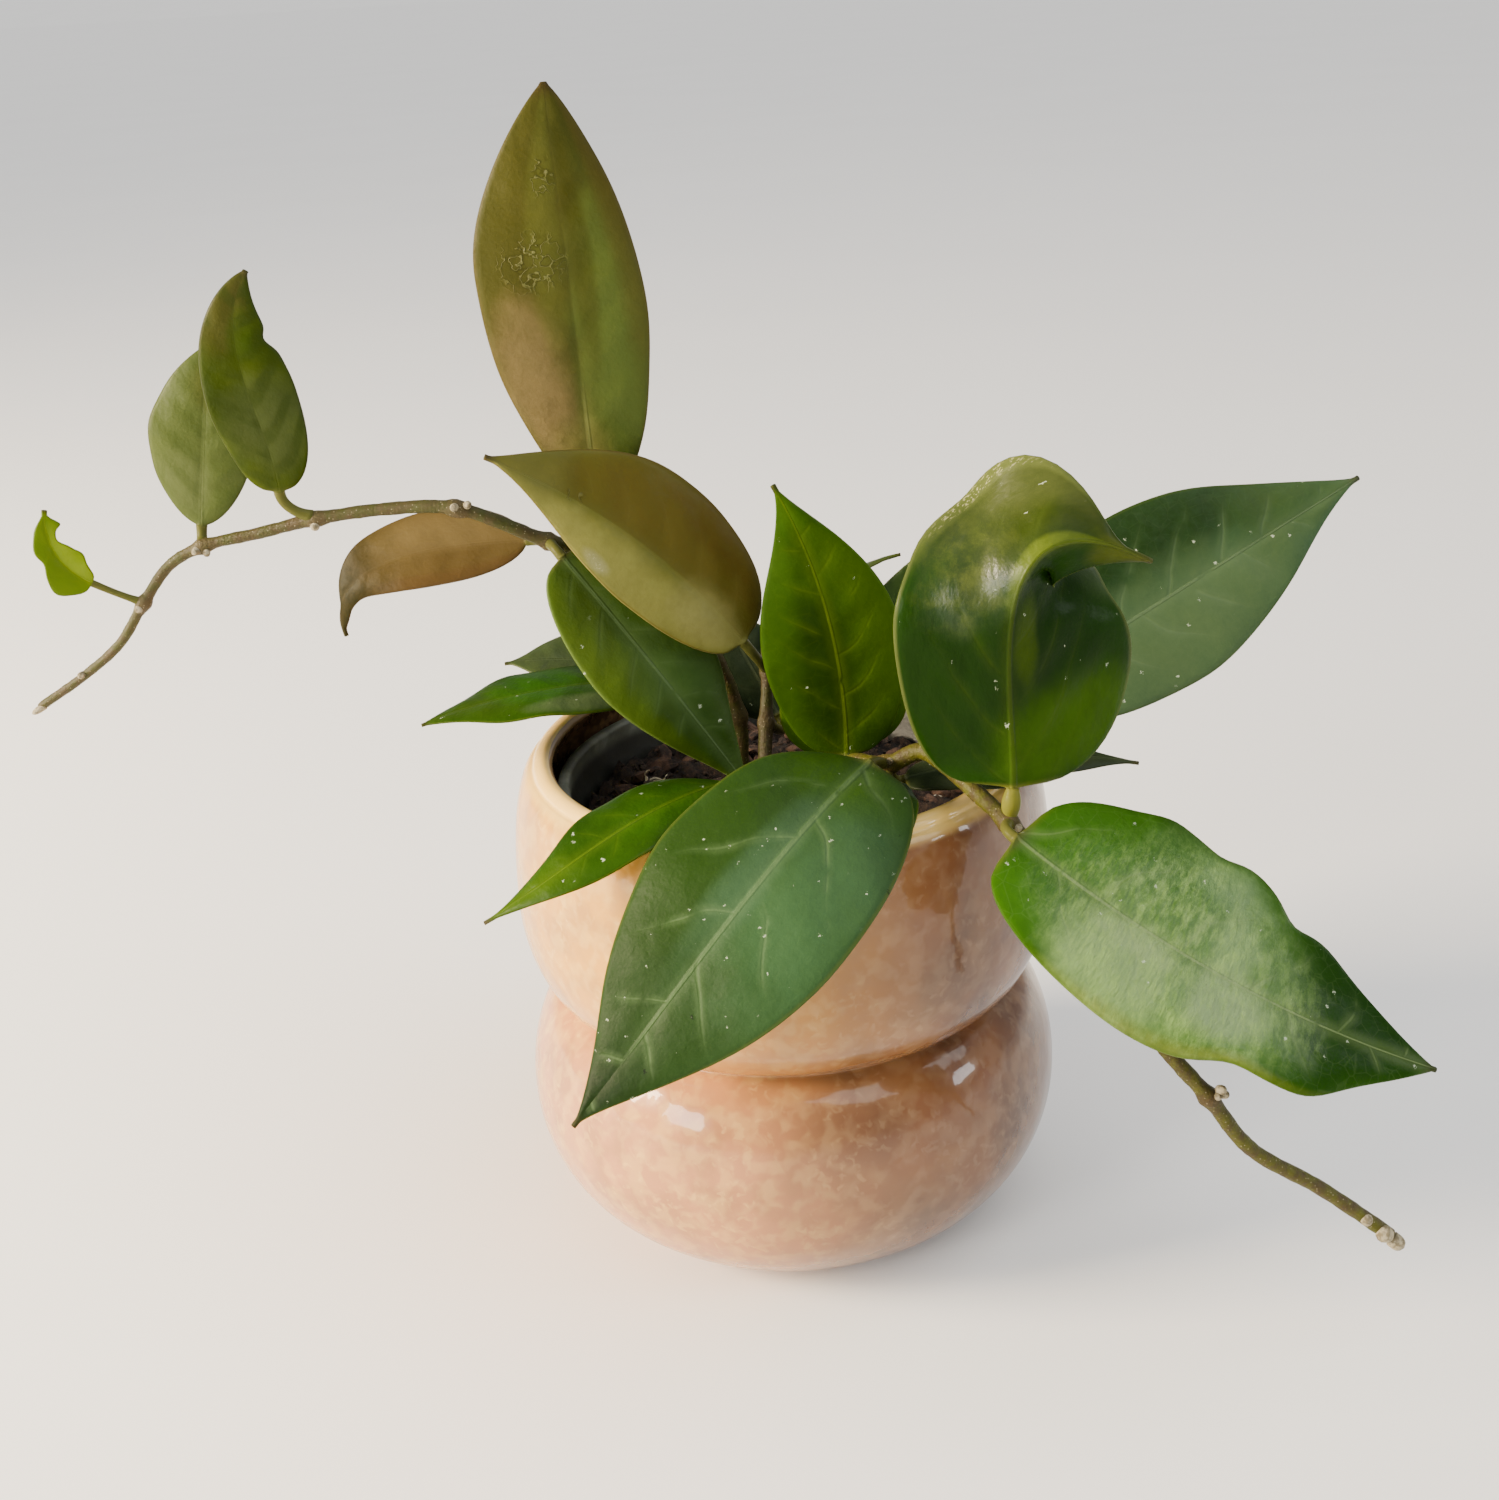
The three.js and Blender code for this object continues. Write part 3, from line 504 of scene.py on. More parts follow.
def glaze_material(name, light, middle, dark, cloud, sunlit_low, sunlit_high, lip):
    """Tan glaze with soft cream blotches, creamy on the lip. The left side is painted as if sunlit: lighter
    and yellower, with paler blotches.
    """
    m = Shader(name)
    place = m.place()
    x, _, z = m.parts(place)
    broad = m.spots(place, 0.035, 2.0, 0.35, 0.65)
    m.color = m.mix(broad, linear(middle), linear(dark))
    # Painted sunlight on the left side, with a noisy edge: yellow high up, orange lower down.
    drift = m.plus(x, m.scaled(m.noise(place, 0.03, 2.0), 40.0, -20.0))
    painted_sunlight = m.step(drift, 34.0, -44.0)
    m.lay(painted_sunlight, m.mix(m.step(z, 45.0, 80.0), linear(sunlit_low), linear(sunlit_high)), 0.9)
    # Blotches are paler on the painted sunlit side.
    pale = m.mix(painted_sunlight, linear(cloud), linear(lip))
    soft = m.step(m.noise(place, 0.1, 3.0, 0.5), 0.42, 0.66)
    m.lay(soft, linear(light), 0.35)
    shaken = m.shaken(place, 0.3, 1.0, 3.0)
    blotch = m.step(m.noise(shaken, 0.24, 1.5, 0.5), 0.42, 0.68)
    m.lay(blotch, pale, 0.24)
    small = m.times(m.spots(shaken, 0.5, 1.5, 0.52, 0.7), m.spots(place, 0.08, 2.0, 0.4, 0.6))
    m.lay(small, pale, 0.26)
    rim = m.step(m.plus(z, m.noise(place, 0.2, 2.0)), POT_HEIGHT - 4.2, POT_HEIGHT - 1.2)
    m.lay(rim, linear(lip), 0.75)
    ripple = m.plus(m.times(m.noise(place, 0.05, 2.0), 1.6), m.times(m.noise(place, 0.16, 2.0), 0.25))
    wavy = m.bump(ripple, 0.5)
    return m.finish(0.25, Normal=wavy, Specular_IOR_Level=0.25,
                    Coat_Weight=0.5, Coat_Roughness=0.04, Coat_Normal=wavy)


def mixed_material(name, first, second, grain, rough, relief, depth, bounds=None):
    """Two colours by one noise, relief by another. grain and relief are (scale, detail, roughness)."""
    m = Shader(name)
    place = m.place()
    share = m.noise(place, *grain)
    m.color = m.mix(m.step(share, *bounds) if bounds else share, linear(first), linear(second))
    return m.finish(rough, Normal=m.bump(m.noise(place, *relief), depth))


def crumb_material(name, first, second, scale=0.4):
    return mixed_material(name, first, second, grain=(scale, 3.0), rough=0.9,
                          relief=(2.0, 4.0), depth=0.3, bounds=(0.4, 0.62))


def plastic_material():
    m = Shader("nursery_plastic")
    place = m.place()
    m.color = m.mix(m.spots(place, 0.12, 4.0, 0.4, 0.7), linear("#56594e"), linear("#7c8074"))
    _, _, z = m.parts(place)
    # Darker below the top of the rim: painted shade down inside the cover pot.
    m.lay(m.step(z, NURSERY_RIM[1] - 2.0, NURSERY_RIM[1] - 5.0), linear("#2c2d28"))
    return m.finish(m.scaled(m.noise(place, 0.3), 0.3, 0.3), Normal=m.bump(m.noise(place, 1.5), 0.06))


def stem_material(name, skin, bark, joint):
    """stem is (millimetres along, nearness of a joint)."""
    m = Shader(name)
    place = m.place()
    along, near, _ = m.parts(m.attribute("stem"))
    stretched = m.node("CombineXYZ", i0=along, i1=0.0, i2=0.0)
    m.color = m.mix(m.spots(place, 0.35, 5.0, 0.35, 0.68), linear(skin), linear(bark))
    streak = m.spots(stretched, 0.6, 3.0, 0.5, 0.7)
    m.lay(streak, linear(joint), 0.45)
    m.lay(near, linear(joint), 0.75)
    speck = m.step(m.cells(place, 1.1), 0.2, 0.08)
    m.lay(speck, linear("#c9bd98"), 0.3)
    return m.finish(0.5, Normal=m.bump(m.noise(place, 1.6, 4.0), 0.25), Specular_IOR_Level=0.2)


def leaf_length(leaf):
    return float(np.linalg.norm(np.subtract(leaf["tip"], leaf["base"])))


def leaf_material(name, leaf):
    """blade is (mm from the rib, mm along it, share along); part is (share across, face, petiole)."""
    look = leaf["look"]
    m = Shader(name)
    across, along, share = m.parts(m.attribute("blade"))
    cross, face, petiole = m.parts(m.attribute("part"))
    edge = m.math("ABSOLUTE", cross)
    far = m.math("ABSOLUTE", across)
    length = leaf_length(leaf)
    # The blade laid flat, each leaf at its own height in the noise
    flat = m.node("CombineXYZ", i0=across, i1=along, i2=31.0 * int(name[-2:]))
    upper = m.step(face, -0.2, 0.2)

    def near(s, t, wide, tall, ragged):
        ds = m.math("DIVIDE", m.minus(cross, s), wide)
        dt = m.math("DIVIDE", m.minus(share, t), tall)
        square = m.plus(m.times(ds, ds), m.times(dt, dt))
        return m.step(m.plus(square, ragged), 1.9, 0.0)

    # Broad greens, soft places of other colours (some of them painted sheen, highlights or shade), a fine
    # mottle
    broad = m.spots(flat, 0.06, 2.0, 0.3, 0.7)
    m.color = m.mix(broad, pigment(look["base"]), pigment(look["dark"]))
    # Painted shade on one half of the blade, strongest at the rib and fading towards the margin.
    if "shaded_half" in look:
        way, code, strength = look["shaded_half"]
        half = m.step(m.times(cross, way), -0.02, 0.05)
        m.lay(m.times(half, m.scaled(edge, -0.6 * strength, strength)), pigment(code))
    gloss = look["gloss"]
    ragged = m.scaled(m.noise(flat, 0.13, 4.0, 0.6), 1.4, -0.7)
    # Soft patches: the leaf's own colours, and on some leaves painted sheen, highlights or shade.
    for s, t, wide, tall, code, strength in look["places"]:
        m.lay(near(s, t, wide, tall, ragged), pigment(code), strength)
    # A crinkled painted reflection, with more gloss over the same patch.
    if "sheen" in look:
        s, t, wide, tall, code, strength = look["sheen"]
        crinkled = m.node("CombineXYZ", i0=m.times(across, 0.5), i1=along, i2=0.0)
        crinkle = m.step(m.noise(crinkled, 0.35, 8.0, 0.75), 0.42, 0.64)
        bright = near(s, t, wide, tall, ragged)
        m.lay(m.times(bright, crinkle), pigment(code), strength)
        gloss = m.scaled(bright, 0.3, gloss)
    mottle = m.step(m.noise(flat, 0.6, 5.0, 0.7), 0.3, 0.75)
    m.lay(mottle, pigment(look["dark"]), 0.2)

    # Side veins: they leave the rib slanting forward and curve towards the tip
    spacing = length / look["veins"]
    wander = m.scaled(m.noise(flat, 0.06, 1.0), 0.7, -0.35)
    other = m.times(m.math("LESS_THAN", across, 0.0), VEIN_SHIFT)
    bow = m.times(m.times(far, far), 0.5 / max(leaf["left"]["width"], 8))
    order = m.math("DIVIDE", m.minus(along, m.plus(m.times(far, VEIN_SLANT), bow)), spacing)
    order = m.plus(order, m.plus(wander, other))
    offset = m.math("ABSOLUTE", m.minus(m.math("FRACT", order), 0.5))
    off = m.times(offset, spacing)
    fade = m.times(m.step(edge, 0.9, 0.3), m.spots(flat, 0.16, 2.0, 0.3, 0.52))
    side_vein = m.times(m.step(off, 0.75, 0.05), fade)
    halo = m.times(m.times(m.step(off, 2.4, 0.2), fade), look["side"] * 0.5)
    # Painted shade in the hollows between the side veins, in soft patches.
    if "pucker_shade" in look:
        gap = m.times(m.step(offset, 0.3, 0.12), m.spots(flat, 0.14, 2.0, 0.35, 0.6))
        m.lay(gap, pigment(look["dark"]), look["pucker_shade"])
    rib_wide = m.scaled(share, -0.65 * look["rib_wide"], look["rib_wide"])
    rib = m.times(m.step(m.math("DIVIDE", far, rib_wide), 1.3, 0.4), m.spots(flat, 0.2, 2.0, 0.2, 0.45))
    before_end = m.step(share, look["rib_end"], look["rib_end"] - 0.15)
    rib = m.times(rib, before_end)
    rib_halo = m.times(m.times(m.step(far, 2.8, 0.3), look["rib"] * 0.3), before_end)
    net = m.times(m.step(m.cells(flat, 0.32, "DISTANCE_TO_EDGE"), 0.05, 0.0), look["net"])
    vein = m.math("MAXIMUM", m.times(side_vein, look["side"]), m.times(rib, look["rib"]))
    vein = m.math("MAXIMUM", m.math("MAXIMUM", vein, net), m.math("MAXIMUM", halo, rib_halo))
    m.lay(vein, pigment(look["vein"]))

    # Thin margin, tip, pale flecks and dark crumbs
    rim = m.times(m.step(edge, 0.965, 1.0), look["rim_share"])
    m.lay(rim, pigment(look["rim"]))
    tip = m.times(m.step(share, 0.955, 1.0), 0.8)
    m.lay(tip, pigment(look["tip"]))
    shaken = m.shaken(flat, 2.4, 3.0, 1.5)
    cells = m.cells(shaken, 0.6)
    chance, other_chance, size = m.parts(m.cells(shaken, 0.6, out=1))
    limit = 1 - look["flecks"]
    chosen = m.times(m.step(chance, limit, limit + 0.02), upper)
    speck = m.step(m.math("DIVIDE", cells, m.scaled(size, 0.15, 0.13)), 1.1, 0.6)
    m.lay(m.times(speck, chosen), linear("#b9c4a8"), 0.7)
    if "crumbs" in look:
        dark_spot = m.times(m.step(cells, 0.32, 0.2), m.step(other_chance, 1 - look["crumbs"], 1.0))
        m.lay(dark_spot, linear("#0a1206"), 0.9)

    # Painted glints: pale specks where the margin catches the light.
    if "glints" in look:
        grain = m.times(near(*look["glints"], 0.0), m.spots(flat, 2.6, 2.0, 0.56, 0.66))
        m.lay(grain, pigment("#e6e2a8"), 0.6)

    # The lower face is paler, the petiole browner
    under = m.times(m.minus(1.0, upper), 0.7)
    m.lay(under, pigment("#71855a"))
    height = m.times(m.noise(flat, 0.22, 3.0, 0.5), 0.35)
    # Scars: pale raised squiggles, each with a line of painted shade beside it.
    for s, t, wide, tall in look["scars"]:
        mask = m.times(near(s, t, wide, tall, m.times(ragged, 0.6)), upper)
        curl = m.noise(flat, 0.32, 2.0, 0.6)
        line = m.step(m.math("ABSOLUTE", m.minus(curl, 0.52)), 0.03, 0.004)
        shade = m.step(m.math("ABSOLUTE", m.minus(curl, 0.47)), 0.03, 0.01)
        shade, line = m.times(mask, shade), m.times(mask, line)
        m.lay(shade, pigment("#3c3e14"), 0.45)
        m.lay(line, pigment("#b4b46c"), 0.45)
        height = m.plus(height, m.times(line, 0.35))
    m.lay(petiole, pigment(look["stalk"]))

    rough = m.scaled(m.noise(flat, 0.25, 3.0), 0.16, look["rough"] - 0.04)
    furrow = m.math("MAXIMUM", m.times(side_vein, min(1, look["side"] * 4)), net)
    height = m.plus(height, m.times(furrow, -0.07))
    height = m.plus(height, m.times(rib, min(1, look["rib"] * 3) * 0.16))
    if "wrinkle" in look:
        long_way = m.node("CombineXYZ", i0=m.times(across, 0.35), i1=along, i2=0.0)
        crimp = m.times(m.noise(long_way, 0.9, 4.0, 0.6), look["wrinkle"])
        height = m.plus(height, m.times(crimp, near(0.0, 0.38, 0.8, 0.3, ragged)))
    height = m.plus(height, m.times(m.noise(flat, 1.6, 3.0), 0.06))
    return m.finish(rough, Normal=m.bump(height, 1.0), Specular_IOR_Level=gloss)


# Pots

def bulge_arc(bulge, end, steps):
    points = []
    for i in range(1, steps + 1):
        share = math.sin(i / steps * math.pi / 2)
        radius = end[0] + (bulge[0] - end[0]) * math.sqrt(max(0.0, 1 - share * share))
        points.append((radius, bulge[1] + (end[1] - bulge[1]) * share))
    return points


def softened(points, passes):
    """Rounds the crease of the waist by averaging neighbours near it."""
    points = np.array(points, dtype=float)
    for _ in range(passes):
        moved = points.copy()
        moved[1:-1] = (points[:-2] + 2 * points[1:-1] + points[2:]) / 4
        near = np.exp(-((points[:, 1] - WAIST[1]) / 2.5) ** 2)[:, None]
        points = points * (1 - near) + moved * near
    return points


def make_cover_pot():
    half = POT_WALL / 2
    rim_z = POT_HEIGHT - half
    wall = bulge_arc(LOWER_BULGE, (FOOT_RADIUS, 0.6), 22)[::-1]
    wall += [LOWER_BULGE] + bulge_arc(LOWER_BULGE, WAIST, 20) + bulge_arc(UPPER_BULGE, WAIST, 18)[::-1][1:]
    wall += [UPPER_BULGE] + bulge_arc(UPPER_BULGE, (RIM_RADIUS, rim_z), 20)
    wall = softened(wall, 10)
    lip = [(RIM_RADIUS - half + half * math.cos(a), rim_z + half * math.sin(a))
           for a in np.linspace(0, math.pi, 12)[1:-1]]
    inside = [(r - POT_WALL, z) for r, z in wall[::-1]
              if r > FOOT_RADIUS + POT_WALL and z > POT_FLOOR + POT_WALL]
    foot = [(0, 0), (FOOT_RADIUS - 4, 0), (FOOT_RADIUS - 0.8, 0), (FOOT_RADIUS, 0.3)]
    floor = [(FOOT_RADIUS + POT_WALL, POT_FLOOR + 1), (FOOT_RADIUS + 2, POT_FLOOR), (0, POT_FLOOR)]
    profile = foot + [tuple(p) for p in wall] + lip + inside + floor
    bare_end = len(foot) - 2
    inner_start = len(foot) + len(wall) + len(lip) - 4

    def slot_of(i):
        return 2 if i < bare_end else int(i >= inner_start)

    # Both glazes have painted sunlight on their left side.
    glaze = glaze_material("glaze", light="#86603c", middle="#70482c", dark="#553a28",
                           cloud="#94765a", sunlit_low="#cc8c5c", sunlit_high="#dc9c30", lip="#f8d070")
    inner = glaze_material("glaze_inside", light="#5a4230", middle="#4a3526", dark="#3a2a20",
                           cloud="#6b523c", sunlit_low="#5c4430", sunlit_high="#5c4430", lip="#c09a6a")
    bare = mixed_material("bare_foot", "#cdb59a", "#b2977b", grain=(0.9,), rough=0.8,
                          relief=(2.5,), depth=0.15)
    pot = turned("glazed_cover_pot", profile, POT_SIDES, [glaze, inner, bare], slot_of, POT_WOBBLE)
    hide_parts("cover_pot")


def nursery_radius(z):
    share = (z - NURSERY_FOOT_Z) / (NURSERY_RIM[1] - NURSERY_FOOT_Z)
    top = NURSERY_RIM[0] - NURSERY_BAND[0] / 2
    return NURSERY_FOOT_RADIUS + (top - NURSERY_FOOT_RADIUS) * share


def make_nursery_pot():
    radius, z = NURSERY_RIM
    band, depth = NURSERY_BAND
    low = z - depth
    foot = NURSERY_FOOT_Z
    outer = [(0, foot), (nursery_radius(foot) - 1.5, foot), (nursery_radius(foot), foot + 1.2)]
    outer += [(nursery_radius(h), h) for h in np.linspace(14, low - 0.4, 8)]
    rim = [(radius - 0.3, low + 0.2), (radius, low + 0.8), (radius, z - 1.0)]
    corner = NURSERY_CORNER
    rim += [(radius - corner + corner * math.cos(a), z - corner + corner * math.sin(a))
            for a in (0.3, 0.7, 1.1, 1.5)]
    rim += [(radius - band + corner, z), (radius - band + 0.25, z - 0.3), (radius - band, z - 0.9)]
    inner = [(radius - band, low + 1.5), (nursery_radius(low) - NURSERY_WALL, low - 0.6)]
    inner += [(nursery_radius(h) - NURSERY_WALL, h) for h in np.linspace(low - 4, foot + 3, 6)]
    inner += [(nursery_radius(foot) - NURSERY_WALL - 1, foot + NURSERY_WALL), (0, foot + NURSERY_WALL)]
    pot = turned("plastic_nursery_pot", outer + rim + inner, NURSERY_SIDES, plastic_material())
    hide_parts("nursery_pot")


# Potting mix

def soil_height(x, y):
    lumps = np.sin(x * 0.31 + 0.7) * np.cos(y * 0.27 - 0.4) + 0.6 * np.sin(x * 0.83 + y * 0.61)
    return SOIL_TOP + SOIL_LUMP * lumps


def soil_detail(x, y):
    grain = 0.45 * np.sin(x * 1.9 + 2 * np.sin(y * 0.7)) * np.sin(y * 2.1 + 2 * np.sin(x * 0.6))
    return grain + 0.25 * np.sin(x * 4.1 + y * 3.3)


def make_soil():
    low = NURSERY_FOOT_Z + NURSERY_WALL + SEAT_GAP
    angles = np.linspace(0, 2 * math.pi, SOIL_SIDES, endpoint=False)
    edge = nursery_radius(SOIL_SHOULDER) - NURSERY_WALL - SEAT_GAP
    rings = [((nursery_radius(low) - NURSERY_WALL - SEAT_GAP) / edge, low), (1.0, SOIL_SHOULDER)]
    rings += [(share, None) for share in np.linspace(0.985, 0.02, SOIL_RINGS)]
    points = []
    for share, height in rings:
        x, y = edge * share * np.cos(angles), edge * share * np.sin(angles)
        z = soil_height(x, y) + soil_detail(x, y) if height is None else np.full(SOIL_SIDES, height)
        points.append(np.stack([x, y, z], axis=-1))
    mix = mixed_material("potting_mix", "#17100b", "#453224", grain=(0.5, 6.0), rough=0.95,
                         relief=(1.2, 8.0, 0.7), depth=1.2, bounds=(0.35, 0.7))
    piece = new_piece("potting_mix", np.vstack(points), ring_faces(len(rings), SOIL_SIDES), mix)
    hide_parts("soil")


def lump_shape():
    work = bmesh.new()
    bmesh.ops.create_icosphere(work, subdivisions=1, radius=1)
    points = np.array([v.co[:] for v in work.verts])
    faces = [[v.index for v in f.verts] for f in work.faces]
    work.free()
    return points, faces


def scatter(name, draw, count, shortest, longest, material, lift):
    """Chips or crumbs that lie half sunk on the mix."""
    base, shape = lump_shape()
    bodies = []
    edge = nursery_radius(SOIL_TOP) - NURSERY_WALL - 3
    for _ in range(count):
        reach = edge * math.sqrt(draw.uniform(0, 1))
        angle = draw.uniform(0, 2 * math.pi)
        x, y = reach * math.cos(angle), reach * math.sin(angle)
        size = draw.uniform(shortest, longest)
        stretch = np.array([size, size * draw.uniform(0.45, 0.8), size * draw.uniform(0.25, 0.5)]) / 2
        body = base * stretch * draw.uniform(0.75, 1.2, (len(base), 3))
        yaw, pitch, roll = draw.uniform(0, 2 * math.pi), draw.uniform(-0.6, 0.6), draw.uniform(-0.6, 0.6)
        cy, sy, cp, sp, cr, sr = (f(v) for v in (yaw, pitch, roll) for f in (math.cos, math.sin))
        turn = (np.array([[cy, -sy, 0], [sy, cy, 0], [0, 0, 1]])
                @ np.array([[cp, 0, sp], [0, 1, 0], [-sp, 0, cp]])
                @ np.array([[1, 0, 0], [0, cr, -sr], [0, sr, cr]]))
        bodies.append((body @ turn.T + [x, y, soil_height(x, y) + stretch[2] * lift], shape))
    piece = new_piece(name, *joined(bodies), material, smooth=False)


def make_roots(draw):
    """Thin pale roots that loop over the mix, the first ones higher and at the left."""
    bodies = []
    starts = [(-31, -3), (-27, 6), (-22, -9), (-34, -14), (-12, -12)]
    for k in range(ROOTS):
        if k < HIGH_ROOTS:
            x, y = starts[k % len(starts)]
            x, y = x + draw.uniform(-4, 4), y + draw.uniform(-4, 4)
        else:
            reach, angle = 38 * math.sqrt(draw.uniform(0, 1)), draw.uniform(0, 2 * math.pi)
            x, y = reach * math.cos(angle), reach * math.sin(angle)
        heading, steps = draw.uniform(0, 2 * math.pi), int(draw.integers(10, 20))
        rise = draw.uniform(0.5, 4.0) if k < HIGH_ROOTS else draw.uniform(0.3, 1.5)
        path = []
        for i in range(steps):
            heading += draw.normal(0, 0.35)
            x, y = x + ROOT_STEP * math.cos(heading), y + ROOT_STEP * math.sin(heading)
            fit = min(1.0, ROOTS_WITHIN / max(1e-6, math.hypot(x, y)))
            x, y = x * fit, y * fit
            path.append((x, y, soil_height(x, y) - 0.8 + rise * math.sin(math.pi * i / (steps - 1)) + 0.4))
        root = tube(np.array(path), np.linspace(*ROOT_RADII, steps), ROOT_SIDES)
        bodies.append((root, ring_faces(steps, ROOT_SIDES)))
    piece = new_piece("fine_roots", *joined(bodies), crumb_material("fine_root", "#d6cab0", "#b4a484"))


# Stems

def circles(angles, side, up):
    """Unit circles, one for each row of side and up."""
    return np.cos(angles)[None, :, None] * side[:, None] + np.sin(angles)[None, :, None] * up[:, None]


def tube(path, radii, sides):
    """Rings of points round a path."""
    tangent = unit(np.gradient(path, axis=0))
    side = unit(np.cross(np.tile([0, 1, 0.3], (len(path), 1)), tangent))
    normal = np.cross(side, tangent)
    angles = math.pi * (1 - (2 * np.arange(sides) + 1) / sides)
    return (path[:, None] + circles(angles, side, normal) * radii[:, None, None]).reshape(-1, 3)


def centripetal(path, place):
    """The point of a centripetal Catmull-Rom curve at a share of its stretches."""
    count = len(path)
    spot = (count - 1) * place
    i = min(int(spot), count - 2)
    w = spot - i
    p1, p2 = path[i], path[i + 1]
    p0 = path[i - 1] if i > 0 else 2 * path[0] - path[1]
    p3 = path[i + 2] if i + 2 < count else 2 * path[-1] - path[-2]
    d0, d1, d2 = (math.sqrt(np.linalg.norm(b - a)) for a, b in ((p0, p1), (p1, p2), (p2, p3)))
    m1 = ((p1 - p0) / d0 - (p2 - p0) / (d0 + d1) + (p2 - p1) / d1) * d1
    m2 = ((p2 - p1) / d1 - (p3 - p1) / (d1 + d2) + (p3 - p2) / d2) * d1
    return p1 + m1 * w + (-3 * p1 + 3 * p2 - 2 * m1 - m2) * w * w + (2 * p1 - 2 * p2 + m1 + m2) * w ** 3


def make_stem(name, stem, material, draw):
    corners = np.array([NODE.get(p, p) for p in stem["path"]], dtype=float)
    places = np.linspace(0, 1, STEM_STEPS * (len(corners) - 1) + 1)
    path = np.array([centripetal(corners, p) for p in places])
    deep = [*corners[0, :2], SOIL_TOP - STEM_SUNK]
    below = np.linspace(deep, path[0], 5)[:-1]
    near = np.zeros(len(path))
    for joint in [NODE[p] for p in stem["path"] if p in NODE]:
        away = np.linalg.norm(path - np.array(joint), axis=1) / (JOINT_LENGTH * 0.8)
        near = np.maximum(near, np.exp(-away ** 2))
    along = np.concatenate([[0], np.cumsum(np.linalg.norm(np.diff(path, axis=0), axis=1))])
    foot, top = stem["radius"]
    radius = foot + (top - foot) * places + JOINT_SWELLING * near
    radius *= 1 + 0.03 * np.sin(along * 0.9) + 0.02 * np.sin(along * 2.3 + 1)
    end = np.minimum(1, np.sqrt(np.maximum(0.02, (along[-1] - along) / STEM_END)))
    radius = radius * np.where(along > along[-1] - STEM_END, end, 1)
    whole = np.vstack([below, path])
    radii = np.concatenate([np.full(len(below), foot), radius])
    points = tube(whole, radii, STEM_SIDES)
    points += draw.normal(0, 0.025, points.shape)
    info = np.vstack([np.zeros((len(below), 3)), np.stack([along, near, 0 * near], axis=-1)])
    piece = new_piece("grown_" + name, points, ring_faces(len(whole), STEM_SIDES), material,
                      attributes={"stem": np.repeat(info, STEM_SIDES, axis=0)})
    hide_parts(name)


# Root stubs, scars and buds: (place, direction, length, radius at the foot)
STUBS = [
    ((-64, -1.2, 169.5), (-0.3, -1, 0.3), 1.5, 0.95), ((-61.4, -1.2, 169.9), (0.4, -1, 0.5), 1.5, 0.85),
    ((-120, 2.6, 162.5), (-0.5, -1, -0.1), 1.4, 0.9), ((-118, 2.6, 162), (0.3, -1, -0.4), 1.1, 0.8),
    ((-94, 0.8, 166.8), (0, -0.7, -0.8), 1.0, 1.0), ((-135, 4, 150), (0.3, -1, 0), 1.2, 0.9),
    ((-151, 6, 135), (-0.1, -1, 0.2), 1.2, 0.8), ((83.1, -68.2, 60.3), (0.5, -0.8, 0.5), 1.3, 1.0),
    ((83.8, -67.8, 58.9), (0.8, -0.6, 0.2), 1.2, 0.9), ((82.4, -68.5, 59), (0.1, -1, 0.1), 1.0, 0.8),
    ((22.5, -29.5, 118.5), (0.2, -1, 0.5), 1.4, 0.8), ((45.5, -49.5, 111.5), (0.2, -1, 0.3), 1.4, 1.0),
    ((114.5, -68.5, 26.5), (-0.3, -1, 0.3), 1.4, 1.3), ((118.4, -69.2, 23.2), (0.2, -0.8, 0.6), 1.6, 1.8),
    ((121, -68.6, 20.6), (0.7, -0.4, -0.5), 2.0, 1.7), ((-162, 7.4, 127.3), (-0.8, -0.3, -0.4), 2.2, 0.8),
    ((41, -46.5, 114.5), (-0.3, -1, 0.2), 1.0, 0.9),
]


def make_stubs():
    bodies = []
    for place, way, length, radius in STUBS:
        steps = np.linspace(-0.5, 1, 9)
        way = unit(np.array(way, dtype=float))
        path = np.array(place) + steps[:, None] * way * length
        radii = radius * np.sqrt(np.maximum(0.02, 1 - np.maximum(0, steps) ** 2.4))
        bodies.append((tube(path, radii, STUB_SIDES), ring_faces(len(steps), STUB_SIDES)))
    piece = new_piece("root_stubs", *joined(bodies), crumb_material("root_stub", "#a0967a", "#6b6148", 0.8))


# Leaves

def width_share(t, half):
    belly = half["belly"]
    low = (1 - (1 - np.minimum(t, belly) / belly) ** 2) ** half["round"]
    high = np.cos(np.clip((t - belly) / (1 - belly), 0, 1) * math.pi / 2) ** half["point"]
    return np.where(t < belly, low, high)


def rib_frame(leaf, t):
    base, tip = np.array(leaf["base"], float), np.array(leaf["tip"], float)
    axis = tip - base
    along = unit(axis)
    facing = np.array(leaf["faces"], float)
    facing = unit(facing - along * facing.dot(along))
    side = np.cross(along, facing)

    def offset(share):
        rise = 4 * share * (1 - share)
        return base + axis * share + facing * rise * leaf["arch"] + side * rise * leaf["bend"]

    b, c = (np.array(p, float) for p in leaf.get("rib", (offset(1 / 3), offset(2 / 3))))
    first = (-5 * base + 18 * b - 9 * c + 2 * tip) / 6
    second = (-5 * tip + 18 * c - 9 * b + 2 * base) / 6
    u = t[:, None]
    centre = ((1 - u) ** 3 * base + 3 * (1 - u) ** 2 * u * first
              + 3 * (1 - u) * u ** 2 * second + u ** 3 * tip)
    tangent = unit(3 * (1 - u) ** 2 * (first - base) + 6 * (1 - u) * u * (second - first)
                   + 3 * u ** 2 * (tip - second))
    facing = unit(facing - tangent * (tangent @ facing)[:, None])
    return centre, tangent, facing, np.cross(tangent, facing)


